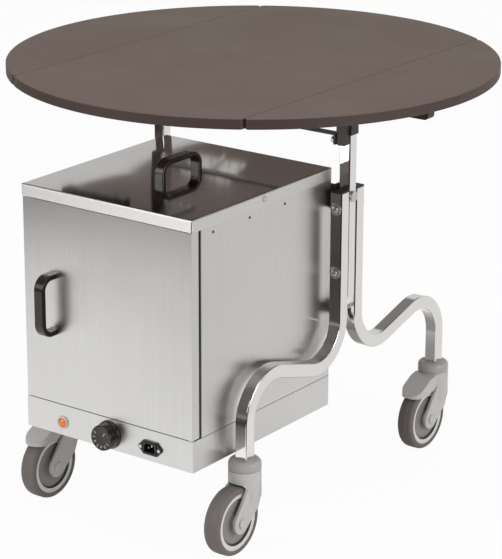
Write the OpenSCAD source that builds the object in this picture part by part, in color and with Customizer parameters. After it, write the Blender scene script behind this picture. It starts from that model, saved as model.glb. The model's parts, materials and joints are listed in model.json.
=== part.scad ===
// Room service table: a round drop-leaf top on a chromed tube frame with four
// castors, and an electric hot box hung on the frame under the top.
// The origin is on the floor under the middle of the top. +Z is up, +X is to
// the right, and the hot box's door faces -Y.

/* [Table top] */
// Diameter of the round top
table_d = 900; // [860:5:940]
// Height of the top's upper face above the floor
table_h = 802; // [790:1:830]
// Thickness of the boards
board_t = 18; // [16:0.5:22]
// Width of the fixed middle board
panel_w = 500; // [490:1:520]
// Gap at the seam between the middle board and a leaf
seam_gap = 2; // [1.6:0.1:3.6]
// Rounding of the boards' long edges
board_edge_r = 2; // [1:0.25:3]
// Rounding of the boards' corners, seen from above
board_corner_r = 5; // [2:0.5:6]

/* [Leaf hinges] */
// Distance between the two hinges of a leaf
hinge_spacing = 400; // [300:10:440]
// Width of a hinge along the seam
hinge_w = 60; // [50:1:70]
// Reach of each strap from the hinge's axis
hinge_strap_l = 60; // [50:1:64]
// Thickness of the hinge straps
hinge_strap_t = 2.5; // [2:0.25:3]
// Outer radius of the hinge knuckles
knuckle_r = 4.5; // [4:0.25:5]
// Radius of the hinge pins
hinge_pin_r = 2.5; // [2:0.1:3]
// Gap between neighbouring knuckles
knuckle_gap = 0.5; // [0.4:0.1:1]
// Radial play of a pin or shaft that turns in its hole
running_play = 0.05; // [0.03:0.01:0.1]

/* [Wood screws] */
// Shank radius of the screws in the boards
wood_screw_r = 1.9; // [1.5:0.1:2.2]
// Depth that a screw reaches into a board
wood_screw_l = 12; // [8:0.5:14]
// Head radius of the screws in the boards
wood_head_r = 3.6; // [3:0.1:4.2]
// Head height of the screws in the boards
wood_head_t = 1.8; // [1.2:0.1:2.2]

/* [Leaf rails] */
// Length of the stiffening rail under a leaf
rail_l = 155; // [120:5:165]
// Width of the rail along the seam's direction
rail_w = 20; // [16:1:24]
// Height of the rail
rail_h = 24; // [18:1:26]
// Sheet thickness of the rail
rail_wall = 2; // [1.5:0.25:2.5]
// Rounding of the rail's outer lower corner
rail_nose_r = 8; // [4:0.5:10]
// Distance from the hinge's axis to the rail's inner end
rail_start = 10.5; // [9:0.5:14]
// Distance of the rail's middle in front of the table's middle line
rail_offset = 50; // [40:1:60]

/* [Frame] */
// Distance between the middles of the two side frames
frame_span = 425; // [424:0.5:435]
// Outside width of the square uprights
frame_tube = 23; // [22:0.5:24]
// Wall thickness of all the tubes
tube_wall = 1.5; // [1.2:0.1:2]
// Rounding of the tubes' edges
tube_corner_r = 2.4; // [2.1:0.1:3]
// Bend radius of the upright frame, at the tube's middle
frame_bend_r = 38.5; // [32:0.5:50]
// Height of the upright frame's cross bar, at the tube's middle
crossbar_z = 353.5; // [340:0.5:370]

/* [Legs] */
// Outside width of the square legs
leg_tube = 25; // [24:0.5:26]
// Distance of the castors' swivel axes in front of and behind the middle
leg_reach = 309.5; // [300:0.5:330]
// Bend radius of the legs, at the tube's middle
leg_bend_r = 76; // [60:1:84]
// Rise of the leg between its two bends, over a run of 24
leg_rise_up = 7; // [4:0.5:8]
// Height at which the upper bend starts
leg_bend_z = 351; // [340:1:370]
// Height of the upper end of the leg's tube
leg_top_z = 588; // [584:1:600]
// Thickness of the cap on the leg's upper end
cap_t = 3; // [2:0.5:5]
// Depth of the cap's plug inside the tube
cap_plug_l = 12; // [8:1:15]

/* [Frame bolts] */
// Shank radius of the bolts that clamp the legs to the uprights
bolt_r = 5; // [4:0.25:5.5]
// Height of the upper bolt
upper_bolt_z = 559; // [552:1:560]
// Height of the lower bolt
lower_bolt_z = 439; // [420:1:480]
// Width across the flats of the bolt heads and nuts
bolt_flats = 16; // [14:0.5:17]
// Height of the bolt heads
bolt_head_t = 6; // [5:0.5:8]
// Radius of the large washers
washer_r = 12; // [10.5:0.25:12.4]
// Thickness of the washers
washer_t = 1.6; // [1:0.1:2]
// Radial play of a bolt in its hole
bolt_play = 0.15; // [0.1:0.05:0.3]

/* [Hot box hangers] */
// Height of the pins that carry the hot box
hanger_z = 576.5; // [575:0.5:580]
// Radius of the hanger pins
hanger_pin_r = 6; // [5:0.25:6.5]
// Head radius of the hanger pins
hanger_head_r = 10; // [8.5:0.5:11]
// Head height of the hanger pins
hanger_head_t = 4; // [3:0.5:5]
// Thickness of the hooks' steel
hook_t = 4; // [3:0.5:5]
// Height of a hook
hook_h = 46; // [40:1:52]
// Rise of the hook's upper edge above the pin's middle
hook_rise = 22; // [18:1:26]
// Reach of a hook behind the pin's middle
hook_back = 13; // [12:0.5:18]
// Side gap between a hook and the upright
hook_gap = 3; // [2:0.5:4]
// Width of a hook's flange on the hot box's back
hook_flange_w = 44; // [30:1:60]

/* [Top brackets] */
// Thickness of the plates under the middle board
plate_t = 3; // [2.5:0.25:4]
// Width of the plates along the seam's direction
plate_w = 80; // [70:1:90]
// Reach of a plate from the upright's middle towards the table's middle
plate_reach = 47.5; // [44:0.5:60]
// Width of the black bar in front of the upright
bar_w = 20; // [18:0.5:22]
// Depth of the black bar
bar_d = 12.5; // [11:0.5:14]
// Length of the black bar below the brace's bent ends
bar_tail = 1; // [0.5:0.5:3]
// Bevel of the bar's lower corners
bar_bevel = 3; // [2:0.5:5]
// Thickness of the outer strap beside the upright
strap_t = 2.5; // [2:0.25:3]
// Length of the outer strap below the plate
strap_l = 89; // [70:1:95]

/* [Cross brace] */
// Width of the flat bar between the side frames
brace_w = 15; // [13:0.5:16]
// Thickness of the flat bar
brace_t = 4; // [3:0.5:5]
// Distance of the flat bar's upper face below the middle of the space over the hot box
brace_sink = 9; // [5:1:13]
// Length of the bar's bent-down ends
brace_end_l = 21; // [19:1:23]
// Gap between the flat bar and the uprights
brace_gap = 1; // [0.8:0.1:1.2]
// Shank radius of the brace's bolts
brace_bolt_r = 3.5; // [3:0.25:4]
// Width across the flats of the brace's bolt heads
brace_bolt_flats = 11; // [10:0.5:12]
// Head height of the brace's bolts
brace_bolt_head_t = 5; // [4:0.5:6]
// Washer radius of the brace's bolts
brace_washer_r = 7; // [6.5:0.25:7.25]

/* [Hot box] */
// Outside width of the hot box
box_w = 378; // [370:1:382]
// Outside depth of the hot box, with its door
box_d = 410; // [400:1:425]
// Gap between the hot box's back and the uprights
box_back_gap = 6.5; // [5:0.5:8]
// Height of the hot box's underside above the floor
box_z = 172; // [170:1:176]
// Height of the lower housing with the controls
plinth_h = 58; // [56:1:64]
// Height of the heated body
body_h = 377; // [370:1:380]
// Height of the top cover
cover_h = 22; // [18:1:26]
// Overhang of the top cover on every side
cover_overhang = 1; // [0.5:0.25:2]
// Rounding of the top cover's edges
cover_edge_r = 3; // [2:0.25:5]
// Sheet thickness of the housing
sheet_t = 1.2; // [1:0.1:1.6]
// Insulated wall thickness at the sides
side_wall = 24; // [20:1:30]
// Insulated wall thickness below and above the cavity
floor_wall = 22; // [18:1:28]
// Insulated wall thickness at the back
back_wall = 24; // [20:1:32]
// Head radius of the rivets on the side panels
rivet_r = 3.2; // [2.5:0.1:4]
// Head height of the rivets
rivet_t = 1.4; // [1:0.1:2]
// Distance between the rivets
rivet_pitch = 104; // [90:1:115]
// Head radius of the screw in the top cover's side
cover_screw_r = 5.5; // [4.5:0.25:6]
// Radius of the rubber buffers between the box and the cross bar
buffer_r = 9; // [7:0.5:11]

/* [Door] */
// Thickness of the door
door_t = 20; // [18:0.5:24]
// Gap round the door
door_gap = 1.5; // [1.2:0.1:2]
// Gap between the door and the heated body
door_seal_gap = 4; // [3:0.25:5]
// Width of the door's rubber seal
seal_w = 12; // [8:0.5:14]
// Distance of the door's pivot from its hinged edge
pivot_in = 6.5; // [6:0.25:8]
// Distance of the door's pivot behind its front face
pivot_back = 7; // [6:0.25:8]
// Radius of the door's pivot pins
pivot_r = 3; // [2.5:0.1:3.5]
// Length of a pivot pin inside the door
pivot_l = 14; // [10:1:18]
// Depth of the raised panel on the door's inner side
plug_t = 8; // [5:0.5:10]
// Margin between the raised panel and the cavity's sides
plug_margin = 10; // [8:0.5:14]

/* [Shelf] */
// Number of shelf levels pressed into the side walls
ledge_count = 4; // [3:1:5]
// Distance between the shelf levels
ledge_pitch = 62; // [50:1:66]
// Height of the lowest level above the cavity's floor
ledge_first = 66; // [50:1:80]
// Depth of a ledge from the side wall
ledge_w = 8; // [6:0.5:9]
// Level that the wire shelf lies on
shelf_level = 1; // [0:1:2]
// Radius of the shelf's frame wire
shelf_frame_r = 3; // [2.5:0.25:3.5]
// Radius of the shelf's cross wires
shelf_wire_r = 1.8; // [1.5:0.1:2.2]
// Bend radius of the shelf's corners, at the wire's middle
shelf_bend_r = 12; // [8:1:16]
// Number of cross wires
shelf_wires = 11; // [7:1:15]

/* [Handles] */
// Length of a bridge handle over its feet
handle_l = 114; // [104:1:130]
// Width of a handle's strap
handle_w = 21; // [18:0.5:24]
// Thickness of a handle's strap
handle_t = 9.5; // [8:0.25:11]
// Stand-off of a handle's outer face
handle_h = 37.5; // [34:0.5:42]
// Bend radius of the strap at its middle
handle_bend_r = 15; // [12:0.5:18]
// Rounding of the strap's edges
handle_edge_r = 2.5; // [1.5:0.25:3]
// Position of the door handle left of the middle
door_handle_x = 124.5; // [100:0.5:140]
// Height of the door handle's middle
door_handle_z = 418; // [380:1:480]

/* [Controls] */
// Position of the knob right of the middle
knob_x = 2.5; // [-20:0.5:20]
// Height of the knob
knob_z = 199.5; // [199:0.5:201]
// Radius of the knob's skirt
knob_skirt_r = 26; // [22:0.5:26]
// Radius of the knob's face
knob_face_r = 20.5; // [17:0.5:22]
// Depth of the knob
knob_h = 24; // [18:0.5:28]
// Radius of the knob's spindle
spindle_r = 3; // [2.5:0.25:4]
// Position of the pilot lamp left of the middle
lamp_x = 105.5; // [90:0.5:120]
// Height of the pilot lamp
lamp_z = 196.5; // [190:0.5:205]
// Radius of the lamp's orange lens
lens_r = 8.5; // [7:0.25:10]
// Width of the lamp's bezel ring
bezel_w = 3.5; // [2.5:0.25:5]
// Position of the power inlet right of the middle
inlet_x = 96; // [80:0.5:110]
// Height of the power inlet
inlet_z = 197; // [192:0.5:204]
// Distance between the inlet's two screws
inlet_screw_spacing = 40.7; // [39:0.1:42]
// Height of the inlet's body
inlet_h = 26; // [24:0.5:28]
// Thickness of the inlet's flange
inlet_flange_t = 3; // [2.5:0.25:4]

/* [Castors] */
// Diameter of the wheels
wheel_d = 125; // [118:1:128]
// Width of the tyres
tyre_w = 32.5; // [30:0.5:34]
// Height of the tyre outside the wheel's rim
tyre_h = 9.5; // [8:0.25:11]
// Rounding of the tyre's shoulders
shoulder_r = 7; // [4:0.5:8]
// Height of the rim's raised ring
rim_ring_h = 11.5; // [9:0.5:14]
// Recess of the wheel's disc behind the raised ring
disc_recess = 3; // [2:0.5:5]
// Trail of the wheel behind the swivel axis
trail = 40; // [36:0.5:43]
// Radius of the fork's head and of the socket above it
head_r = 29.6; // [28.5:0.1:31]
// Height of the fork above the wheel's axle
fork_rise = 87; // [86:0.5:90]
// Depth of the fork's closed head
fork_head_h = 52; // [46:0.5:54]
// Gap between the fork and its socket
swivel_gap = 0.9; // [0.5:0.1:0.9]
// Height of the socket above the fork
socket_h = 17.6; // [16:0.2:22]
// Rounding of the socket's upper edge
socket_round_r = 8; // [5:0.5:9]
// Depth of the leg's seat in the socket
seat_depth = 4; // [3:0.5:6]
// Length of the socket's plug inside the leg
socket_plug_l = 36; // [25:1:45]
// Radius of the swivel pin
kingpin_r = 6; // [5:0.25:7]
// Length of the swivel pin inside the fork
kingpin_l = 24; // [18:1:26]
// Half of the width inside the fork
fork_half_gap = 18.5; // [17.8:0.1:19]
// Thickness of the fork's arms
fork_arm_t = 5.5; // [4.5:0.25:6.5]
// Radius of the fork's round ends
fork_end_r = 20; // [16:0.5:22]
// Gap between the tyre and the fork's arch
arch_gap = 3.5; // [3:0.25:5]
// Radius of the wheel axles
axle_r = 5; // [4:0.25:6]
// Head radius of the wheel axles
axle_head_r = 9; // [7:0.5:11]

/* [Brake pedals] */
// Half of the pedal's width
pedal_half_w = 23; // [22.5:0.25:25]
// Wall thickness of the pedal
pedal_wall = 3.2; // [2.5:0.1:3.4]
// Distance of the pedal's tip from the swivel axis
pedal_l = 90; // [86:0.5:94]
// Radius of the pedal's pivot pin
pedal_pin_r = 2.5; // [2:0.1:3]
// Distance of the pedal's pivot from the swivel axis
pedal_pivot_y = 35; // [34.5:0.1:36]
// Depth of the pedal's pivot below the fork's top
pedal_pivot_drop = 13.5; // [13:0.25:14.5]

/* [Hidden] */
$fn = 64;

// Small working distances
eps = 0.01;
over = 1;
bearing_gap = 0.3;
hex_faces = 6;
quarter = 90;
half_turn = 180;

// Table top
table_r = table_d / 2;
board_z = table_h - board_t;
panel_x = panel_w / 2;
leaf_x = panel_x + seam_gap;
hinge_x = panel_x + seam_gap / 2;
hinge_z = board_z - knuckle_r - knuckle_gap;
knuckle_l = hinge_w / 3;
notch_in = knuckle_r + knuckle_gap;
strap_screw_in = [22, 48];
strap_screw_y = hinge_w / 3;
rail_x = hinge_x + rail_start;
rail_screws = 3;

// Frame
frame_x = frame_span / 2;
plate_z = board_z - plate_t;
leg_y = (frame_tube + leg_tube) / 2;
side_out_x = frame_x + frame_tube / 2;
side_in_x = frame_x - frame_tube / 2;
frame_front_y = -frame_tube / 2;
leg_outer_y = leg_y + leg_tube / 2;
bar_bolt_drop = 12;
bar_bolt_r = 3;
bar_bolt_head_r = 4;
bar_bolt_head_t = 3;
bar_bolt_depth = 3;
bolt_tail = 3;
brace_bolt_depth = 6;
plate_screw_in = 8;
plate_screw_gap = 7;
plate_screw_edge = 10;

// Leg: both bends turn by the same angle, and the slope between them fits the reach
leg_rise_run = 24;
leg_rise = atan2(leg_rise_up, leg_rise_run);
leg_arc = quarter + leg_rise;
leg_slope_l = (leg_reach - leg_y - 2 * leg_bend_r * (1 + sin(leg_rise))) / cos(leg_rise);
foot_bend_z = leg_bend_z - 2 * leg_bend_r * cos(leg_rise) + leg_slope_l * sin(leg_rise);

// Castor
hub_z = wheel_d / 2;
fork_top_z = hub_z + fork_rise;
socket_z = fork_top_z + swivel_gap;
socket_top_z = socket_z + socket_h;
leg_bottom_z = socket_top_z - seat_depth;
rim_r = wheel_d / 2 - tyre_h;
arch_r = wheel_d / 2 + arch_gap;
arm_out_x = fork_half_gap + fork_arm_t;
fork_edge_r = 3;
fork_cut_h = 19;
arm_half_w = 18;
arm_lean = 13.2;
shoulder_in = 29.5;
neck_in = 49.5;
neck_half_w = 9;
seat_play = 0.1;
plug_play = 0.2;
hub_r = 12;
ring_half_t = tyre_w / 2 - 2;
disc_half_t = ring_half_t - disc_recess;
ring_slope = 2;
axle_round_r = 1.5;
axle_head_t = 3.5;
tyre_seat_gap = 0.2;

// Brake pedal, in the castor's own place
pedal_pivot_z = fork_top_z - pedal_pivot_drop;
lug_half_w = 10;
lug_r = 5;
ear_t = 3.5;
ear_gap = 0.5;
pedal_play = 1.2;

// Hot box
box_x = box_w / 2;
back_y = frame_front_y - box_back_gap;
front_y = back_y - box_d;
body_y = front_y + door_t + door_seal_gap;
mid_y = (front_y + back_y) / 2;
body_z = box_z + plinth_h;
cover_z = body_z + body_h;
cover_top_z = cover_z + cover_h;
cavity_x = box_x - side_wall;
cavity_y = back_y - back_wall;
cavity_z = body_z + floor_wall;
cavity_top_z = cover_z - floor_wall;
liner_t = 1;
window_in = 30;
hook_x = side_in_x - hook_gap - hook_t / 2;
brace_z = (plate_z + cover_top_z) / 2 - brace_sink;
bar_l = plate_z - brace_z + brace_end_l + bar_tail;
hook_play = 0.2;
rivet_drop = 12;
rivet_shift = 42;
cover_screw_l = 6;
cover_screw_t = 2;
buffer_x = box_x - 60;

// Door
door_x = box_x - door_gap;
door_z0 = body_z + door_gap;
door_z1 = cover_z - door_gap;
door_back_y = front_y + door_t;
pivot_x = door_x - pivot_in;
pivot_y = front_y + pivot_back;
boss_r = pivot_r + 2.8;
seal_x = pivot_x - over;
seal_z0 = cavity_z - seal_w + 1;
seal_z1 = cavity_top_z + seal_w - 1;
plug_x = cavity_x - plug_margin;
plug_corner_r = 8;
seal_groove_w = 3;
seal_groove_d = 1.5;

// Controls
panel_play = 0.3;
inlet_depth = 18;
inlet_pin_l = 11;
inlet_w = 30;
inlet_back_w = 28;
inlet_back_h = 21;
inlet_screw_r = 1.6;
inlet_ear_r = 5.5;
inlet_ear_slope = 0.4;
inlet_corner_r = 2;
collar_t = 1.5;

// ---------- shared shapes ----------

// A flat rectangle with round corners, centred
module rounded_rect(w, h, r) {
    square([w - 2 * r, h], center = true);
    square([w, h - 2 * r], center = true);
    for (sx = [-1, 1], sy = [-1, 1])
        translate([sx * (w / 2 - r), sy * (h / 2 - r)]) circle(r);
}

// A box given by its limits
module block(x0, x1, y0, y1, z0, z1) {
    translate([x0, y0, z0]) cube([x1 - x0, y1 - y0, z1 - z0]);
}

module rod_x(r, x0, x1) {
    translate([x0, 0, 0]) rotate([0, quarter, 0]) cylinder(h = x1 - x0, r = r);
}

module rod_y(r, y0, y1) {
    translate([0, y1, 0]) rotate([quarter, 0, 0]) cylinder(h = y1 - y0, r = r);
}

module rod_z(r, z0, z1) {
    translate([0, 0, z0]) cylinder(h = z1 - z0, r = r);
}

// Stands a flat outline upright: its x becomes Y and its y becomes Z
module in_yz(t) {
    rotate([quarter, 0, quarter]) linear_extrude(t, center = true) children();
}

// Stands a flat outline upright: its y becomes Z
module in_xz(t) {
    rotate([quarter, 0, 0]) linear_extrude(t, center = true) children();
}

module both_sides() {
    children();
    mirror([1, 0, 0]) children();
}

module both_ends() {
    children();
    mirror([0, 1, 0]) children();
}

// A hexagon head along Z with the given width across its flats
module hex_head(flats, t) {
    cylinder(h = t, r = flats / 2 / cos(half_turn / hex_faces), $fn = hex_faces);
}

// A straight bar of rounded section that runs from the plane's origin along +y
module bar_up(w, t, r, len) {
    rotate([-quarter, 0, 0]) linear_extrude(len) rounded_rect(w, t, r);
}

// A bend of rounded section in the plane, from a start angle
module bar_bend(w, t, r, bend_r, start, sweep) {
    rotate([0, 0, start]) rotate_extrude(angle = sweep)
        translate([bend_r, 0]) rounded_rect(w, t, r);
}

// Section of a square tube
module tube_section(w) {
    inner = w - 2 * tube_wall;
    difference() {
        rounded_rect(w, w, tube_corner_r);
        rounded_rect(inner, inner, tube_corner_r - tube_wall);
    }
}

// A straight square tube that runs from the plane's origin along +y
module tube_up(w, len) {
    rotate([-quarter, 0, 0]) linear_extrude(len) tube_section(w);
}

// A bend of square tube in the plane, from a start angle
module tube_bend(w, bend_r, start, sweep) {
    rotate([0, 0, start]) rotate_extrude(angle = sweep)
        translate([bend_r, 0]) tube_section(w);
}

// ---------- frame ----------

// The route of the upright frame: up on both sides, round and across
module frame_route() {
    up_z = crossbar_z + frame_bend_r;
    flat_x = frame_x - frame_bend_r;
    rotate([quarter, 0, 0]) {
        both_sides() {
            translate([frame_x, up_z]) tube_up(frame_tube, plate_z - up_z);
            translate([flat_x, up_z]) tube_bend(frame_tube, frame_bend_r, 3 * quarter, quarter);
        }
        translate([-flat_x, crossbar_z]) rotate([0, 0, -quarter]) tube_up(frame_tube, 2 * flat_x);
    }
}

module upright_frame() {
    color("silver") difference() {
        frame_route();
        for (z = [lower_bolt_z, upper_bolt_z]) both_sides()
            translate([frame_x, 0, z]) rod_y(bolt_r + bolt_play, -frame_tube, frame_tube);
        both_sides() {
            translate([0, 0, hanger_z])
                rod_x(hanger_pin_r + bolt_play, side_in_x - over, side_out_x + over);
            translate([frame_x, 0, brace_z - brace_end_l + bar_bolt_drop])
                rod_y(bar_bolt_r + bolt_play, -frame_tube, frame_tube);
        }
    }
}

// Moves on to the end of a bend that turns left of the way along +y
module after_left_turn(bend_r, sweep) {
    translate([-bend_r, 0]) rotate([0, 0, sweep]) translate([bend_r, 0]) children();
}

// A bend of the leg from the plane's origin, trimmed square to the way at its end
module leg_bend() {
    difference() {
        translate([-leg_bend_r, 0]) tube_bend(leg_tube, leg_bend_r, 0, leg_arc + 1);
        after_left_turn(leg_bend_r, leg_arc)
            block(-leg_tube, leg_tube, 0, leg_tube, -leg_tube, leg_tube);
    }
}

// The route of a leg: down, outwards in two bends, and down to the castor
module leg_route() {
    rotate([quarter, 0, quarter]) translate([leg_y, leg_bend_z]) {
        tube_up(leg_tube, leg_top_z - leg_bend_z);
        rotate([0, 0, half_turn]) {
            leg_bend();
            after_left_turn(leg_bend_r, leg_arc) {
                tube_up(leg_tube, leg_slope_l);
                translate([0, leg_slope_l]) mirror([1, 0]) {
                    leg_bend();
                    after_left_turn(leg_bend_r, leg_arc)
                        tube_up(leg_tube, foot_bend_z - leg_bottom_z);
                }
            }
        }
    }
}

// The right-hand rear leg; the other three are its mirror images
module leg() {
    color("silver") translate([frame_x, 0, 0]) difference() {
        leg_route();
        for (z = [lower_bolt_z, upper_bolt_z])
            translate([0, 0, z]) rod_y(bolt_r + bolt_play, 0, leg_outer_y + over);
    }
}

module leg_caps() {
    plug = leg_tube - 2 * tube_wall - 2 * plug_play;
    color("black") both_sides() both_ends() translate([frame_x, leg_y, leg_top_z]) {
        linear_extrude(cap_t) rounded_rect(leg_tube, leg_tube, tube_corner_r);
        translate([0, 0, -cap_plug_l]) linear_extrude(cap_plug_l + eps)
            rounded_rect(plug, plug, tube_corner_r - tube_wall);
    }
}

// Bolts that pass through front leg, upright and rear leg
module leg_bolts() {
    color("gainsboro") both_sides() for (z = [lower_bolt_z, upper_bolt_z])
        translate([frame_x, 0, z]) {
            rod_y(bolt_r, -leg_outer_y - washer_t, leg_outer_y + washer_t + bolt_head_t + bolt_tail);
            for (s = [-1, 1]) scale([1, s, 1]) {
                rod_y(washer_r, -leg_outer_y - washer_t, -leg_outer_y);
                translate([0, -leg_outer_y - washer_t, 0]) rotate([quarter, 0, 0])
                    hex_head(bolt_flats, bolt_head_t);
            }
        }
}

// Pins through the uprights, with their inner ends free for the hooks
module hanger_pins() {
    color("gainsboro") both_sides() translate([0, 0, hanger_z]) {
        rod_x(hanger_pin_r, hook_x - hook_t, side_out_x + eps);
        rod_x(hanger_head_r, side_out_x, side_out_x + hanger_head_t);
    }
}

// Angled hooks on the hot box's back, hung over the pins
module hanger_hooks() {
    low = hanger_z + hook_rise - hook_h;
    slot_r = hanger_pin_r + hook_play;
    color("dimgray") both_sides() {
        difference() {
            block(hook_x - hook_t / 2, hook_x + hook_t / 2, back_y, hook_back, low, low + hook_h);
            translate([0, 0, hanger_z]) rod_x(slot_r, hook_x - hook_t, hook_x + hook_t);
            block(hook_x - hook_t, hook_x + hook_t, -slot_r, slot_r, low - over, hanger_z);
        }
        block(hook_x + hook_t / 2 - hook_flange_w, hook_x, back_y, back_y + hook_t, low, low + hook_h);
    }
}

// Rubber buffers between the hot box's back and the cross bar
module rear_buffers() {
    color("black") both_sides() translate([buffer_x, 0, crossbar_z])
        rod_y(buffer_r, back_y, frame_front_y);
}

// ---------- brackets ----------

module top_brackets() {
    plate_in_x = frame_x - plate_reach;
    bar_bolt_z = brace_z - brace_end_l + bar_bolt_drop;
    brace_bolt_z = brace_z - brace_end_l + brace_washer_r;
    brace_mid_y = frame_front_y - brace_gap - brace_w / 2;
    outline = [
        [-bar_w / 2, 0], [-bar_w / 2, bar_bevel - bar_l], [bar_bevel - bar_w / 2, -bar_l],
        [bar_w / 2 - bar_bevel, -bar_l], [bar_w / 2, bar_bevel - bar_l], [bar_w / 2, 0]
    ];
    color("black") both_sides() difference() {
        union() {
            block(plate_in_x, side_out_x + strap_t, -plate_w / 2, plate_w / 2, plate_z, board_z);
            block(side_out_x, side_out_x + strap_t, -frame_tube / 2, frame_tube / 2,
                  plate_z - strap_l, plate_z + eps);
            translate([frame_x, frame_front_y - bar_d / 2, plate_z + eps])
                in_xz(bar_d) polygon(outline);
        }
        translate([0, brace_mid_y, brace_bolt_z])
            rod_x(brace_bolt_r + bolt_play, frame_x - bar_w,
                  frame_x - bar_w / 2 + brace_bolt_depth + over);
        translate([frame_x, 0, bar_bolt_z])
            rod_y(bar_bolt_r + bolt_play, frame_front_y - bar_bolt_depth - over, 0);
        plate_screw_places() rod_z(wood_screw_r + bolt_play, plate_z - over, board_z + over);
    }
}

// The four screws of the right-hand plate
module plate_screw_places() {
    inner = frame_x - plate_reach + plate_screw_in;
    outer = side_in_x - plate_screw_gap;
    for (x = [inner, outer], s = [-1, 1])
        translate([x, s * (plate_w / 2 - plate_screw_edge), 0]) children();
}

module cross_brace() {
    end_x = frame_x - bar_w / 2;
    y0 = frame_front_y - brace_gap - brace_w;
    y1 = frame_front_y - brace_gap;
    color("black") difference() {
        union() {
            block(-end_x, end_x, y0, y1, brace_z - brace_t, brace_z);
            both_sides() block(end_x - brace_t, end_x, y0, y1, brace_z - brace_end_l, brace_z);
        }
        both_sides() translate([0, (y0 + y1) / 2, brace_z - brace_end_l + brace_washer_r])
            rod_x(brace_bolt_r + bolt_play, end_x - 2 * brace_t, end_x + over);
    }
}

// Hexagon bolts of the brace and domed bolts through the uprights
module bracket_bolts() {
    end_x = frame_x - bar_w / 2;
    face_x = end_x - brace_t;
    brace_mid_y = frame_front_y - brace_gap - brace_w / 2;
    dome_r = bar_bolt_head_r * 1.4;
    head_y = frame_tube / 2;
    color("gainsboro") both_sides() {
        translate([0, brace_mid_y, brace_z - brace_end_l + brace_washer_r]) {
            rod_x(brace_bolt_r, face_x - washer_t, end_x + brace_bolt_depth);
            rod_x(brace_washer_r, face_x - washer_t, face_x);
            translate([face_x - washer_t, 0, 0]) rotate([0, -quarter, 0])
                hex_head(brace_bolt_flats, brace_bolt_head_t);
        }
        translate([frame_x, 0, brace_z - brace_end_l + bar_bolt_drop]) {
            rod_y(bar_bolt_r, frame_front_y - bar_bolt_depth, head_y + eps);
            intersection() {
                rod_y(bar_bolt_head_r, head_y, head_y + bar_bolt_head_t);
                translate([0, head_y + bar_bolt_head_t - dome_r, 0]) sphere(dome_r);
            }
        }
    }
}

// ---------- table top ----------

// The disc's round rim with rolled edges
module disc() {
    translate([0, 0, board_z]) rotate_extrude() {
        square([table_r - board_edge_r, board_t]);
        translate([0, board_edge_r]) square([table_r, board_t - 2 * board_edge_r]);
        for (z = [board_edge_r, board_t - board_edge_r])
            translate([table_r - board_edge_r, z]) circle(board_edge_r);
    }
}

// Plan of the disc beyond x0, with its two corners at x0 rounded by r
module segment_plan(x0, r) {
    corner_y = sqrt(pow(table_r - r, 2) - pow(x0 + r, 2));
    touch_x = (x0 + r) * table_r / (table_r - r);
    intersection() {
        circle(table_r, $fn = 256);
        translate([touch_x, -table_r]) square([table_r, table_d]);
    }
    translate([x0, -corner_y]) square([touch_x - x0, 2 * corner_y]);
    for (s = [-1, 1]) translate([x0 + r, s * corner_y]) circle(r);
}

// Plan of the middle board: all four corners rounded
module panel_plan(x1, r) {
    corner_y = sqrt(pow(table_r - r, 2) - pow(x1 - r, 2));
    touch_x = (x1 - r) * table_r / (table_r - r);
    intersection() {
        circle(table_r, $fn = 256);
        square([2 * touch_x, table_d + over], center = true);
    }
    square([2 * x1, 2 * corner_y], center = true);
    for (sx = [-1, 1], sy = [-1, 1]) translate([sx * (x1 - r), sy * corner_y]) circle(r);
}

module centre_panel() {
    color("saddlebrown") difference() {
        intersection() {
            disc();
            translate([0, 0, board_z + board_t / 2]) in_xz(table_d)
                rounded_rect(panel_w, board_t, board_edge_r);
            translate([0, 0, board_z]) linear_extrude(board_t)
                panel_plan(panel_x, board_corner_r);
        }
        panel_screw_places() rod_z(wood_screw_r + running_play, board_z - over,
                                   board_z + wood_screw_l + running_play);
    }
}

// The right-hand leaf; the left one is its mirror image
module leaf() {
    color("saddlebrown") difference() {
        intersection() {
            disc();
            translate([leaf_x + table_r / 2, 0, board_z + board_t / 2]) in_xz(table_d)
                rounded_rect(table_r, board_t, board_edge_r);
            translate([0, 0, board_z]) linear_extrude(board_t)
                segment_plan(leaf_x, board_corner_r);
        }
        leaf_screw_places() rod_z(wood_screw_r + running_play, board_z - over,
                                  board_z + wood_screw_l + running_play);
    }
}

// A wood screw whose head lies under a face at z0
module wood_screw(z0) {
    rod_z(wood_screw_r, z0 - eps, board_z + wood_screw_l);
    rod_z(wood_head_r, z0 - wood_head_t, z0);
}

// The middle board's screws: the plates' and the hinges' fixed halves'
module panel_screw_places() {
    both_sides() plate_screw_places() children();
    both_sides() strap_screw_places(-1) children();
}

// The screws of the right-hand side's straps, on the fixed (-1) or leaf (1) side
module strap_screw_places(side) {
    for (h = [-1, 1], s = [-1, 1], d = strap_screw_in)
        translate([hinge_x + side * d, h * hinge_spacing / 2 + s * strap_screw_y, 0]) children();
}

module rail_screw_places() {
    for (i = [0 : rail_screws - 1])
        translate([rail_x + rail_l * (i + 1 / 2) / rail_screws, -rail_offset, 0]) children();
}

module leaf_screw_places() {
    strap_screw_places(1) children();
    rail_screw_places() children();
}

module panel_screws() {
    color("gainsboro") {
        both_sides() plate_screw_places() wood_screw(plate_z);
        both_sides() strap_screw_places(-1) wood_screw(board_z - hinge_strap_t);
    }
}

// ---------- leaf hinges ----------

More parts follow.
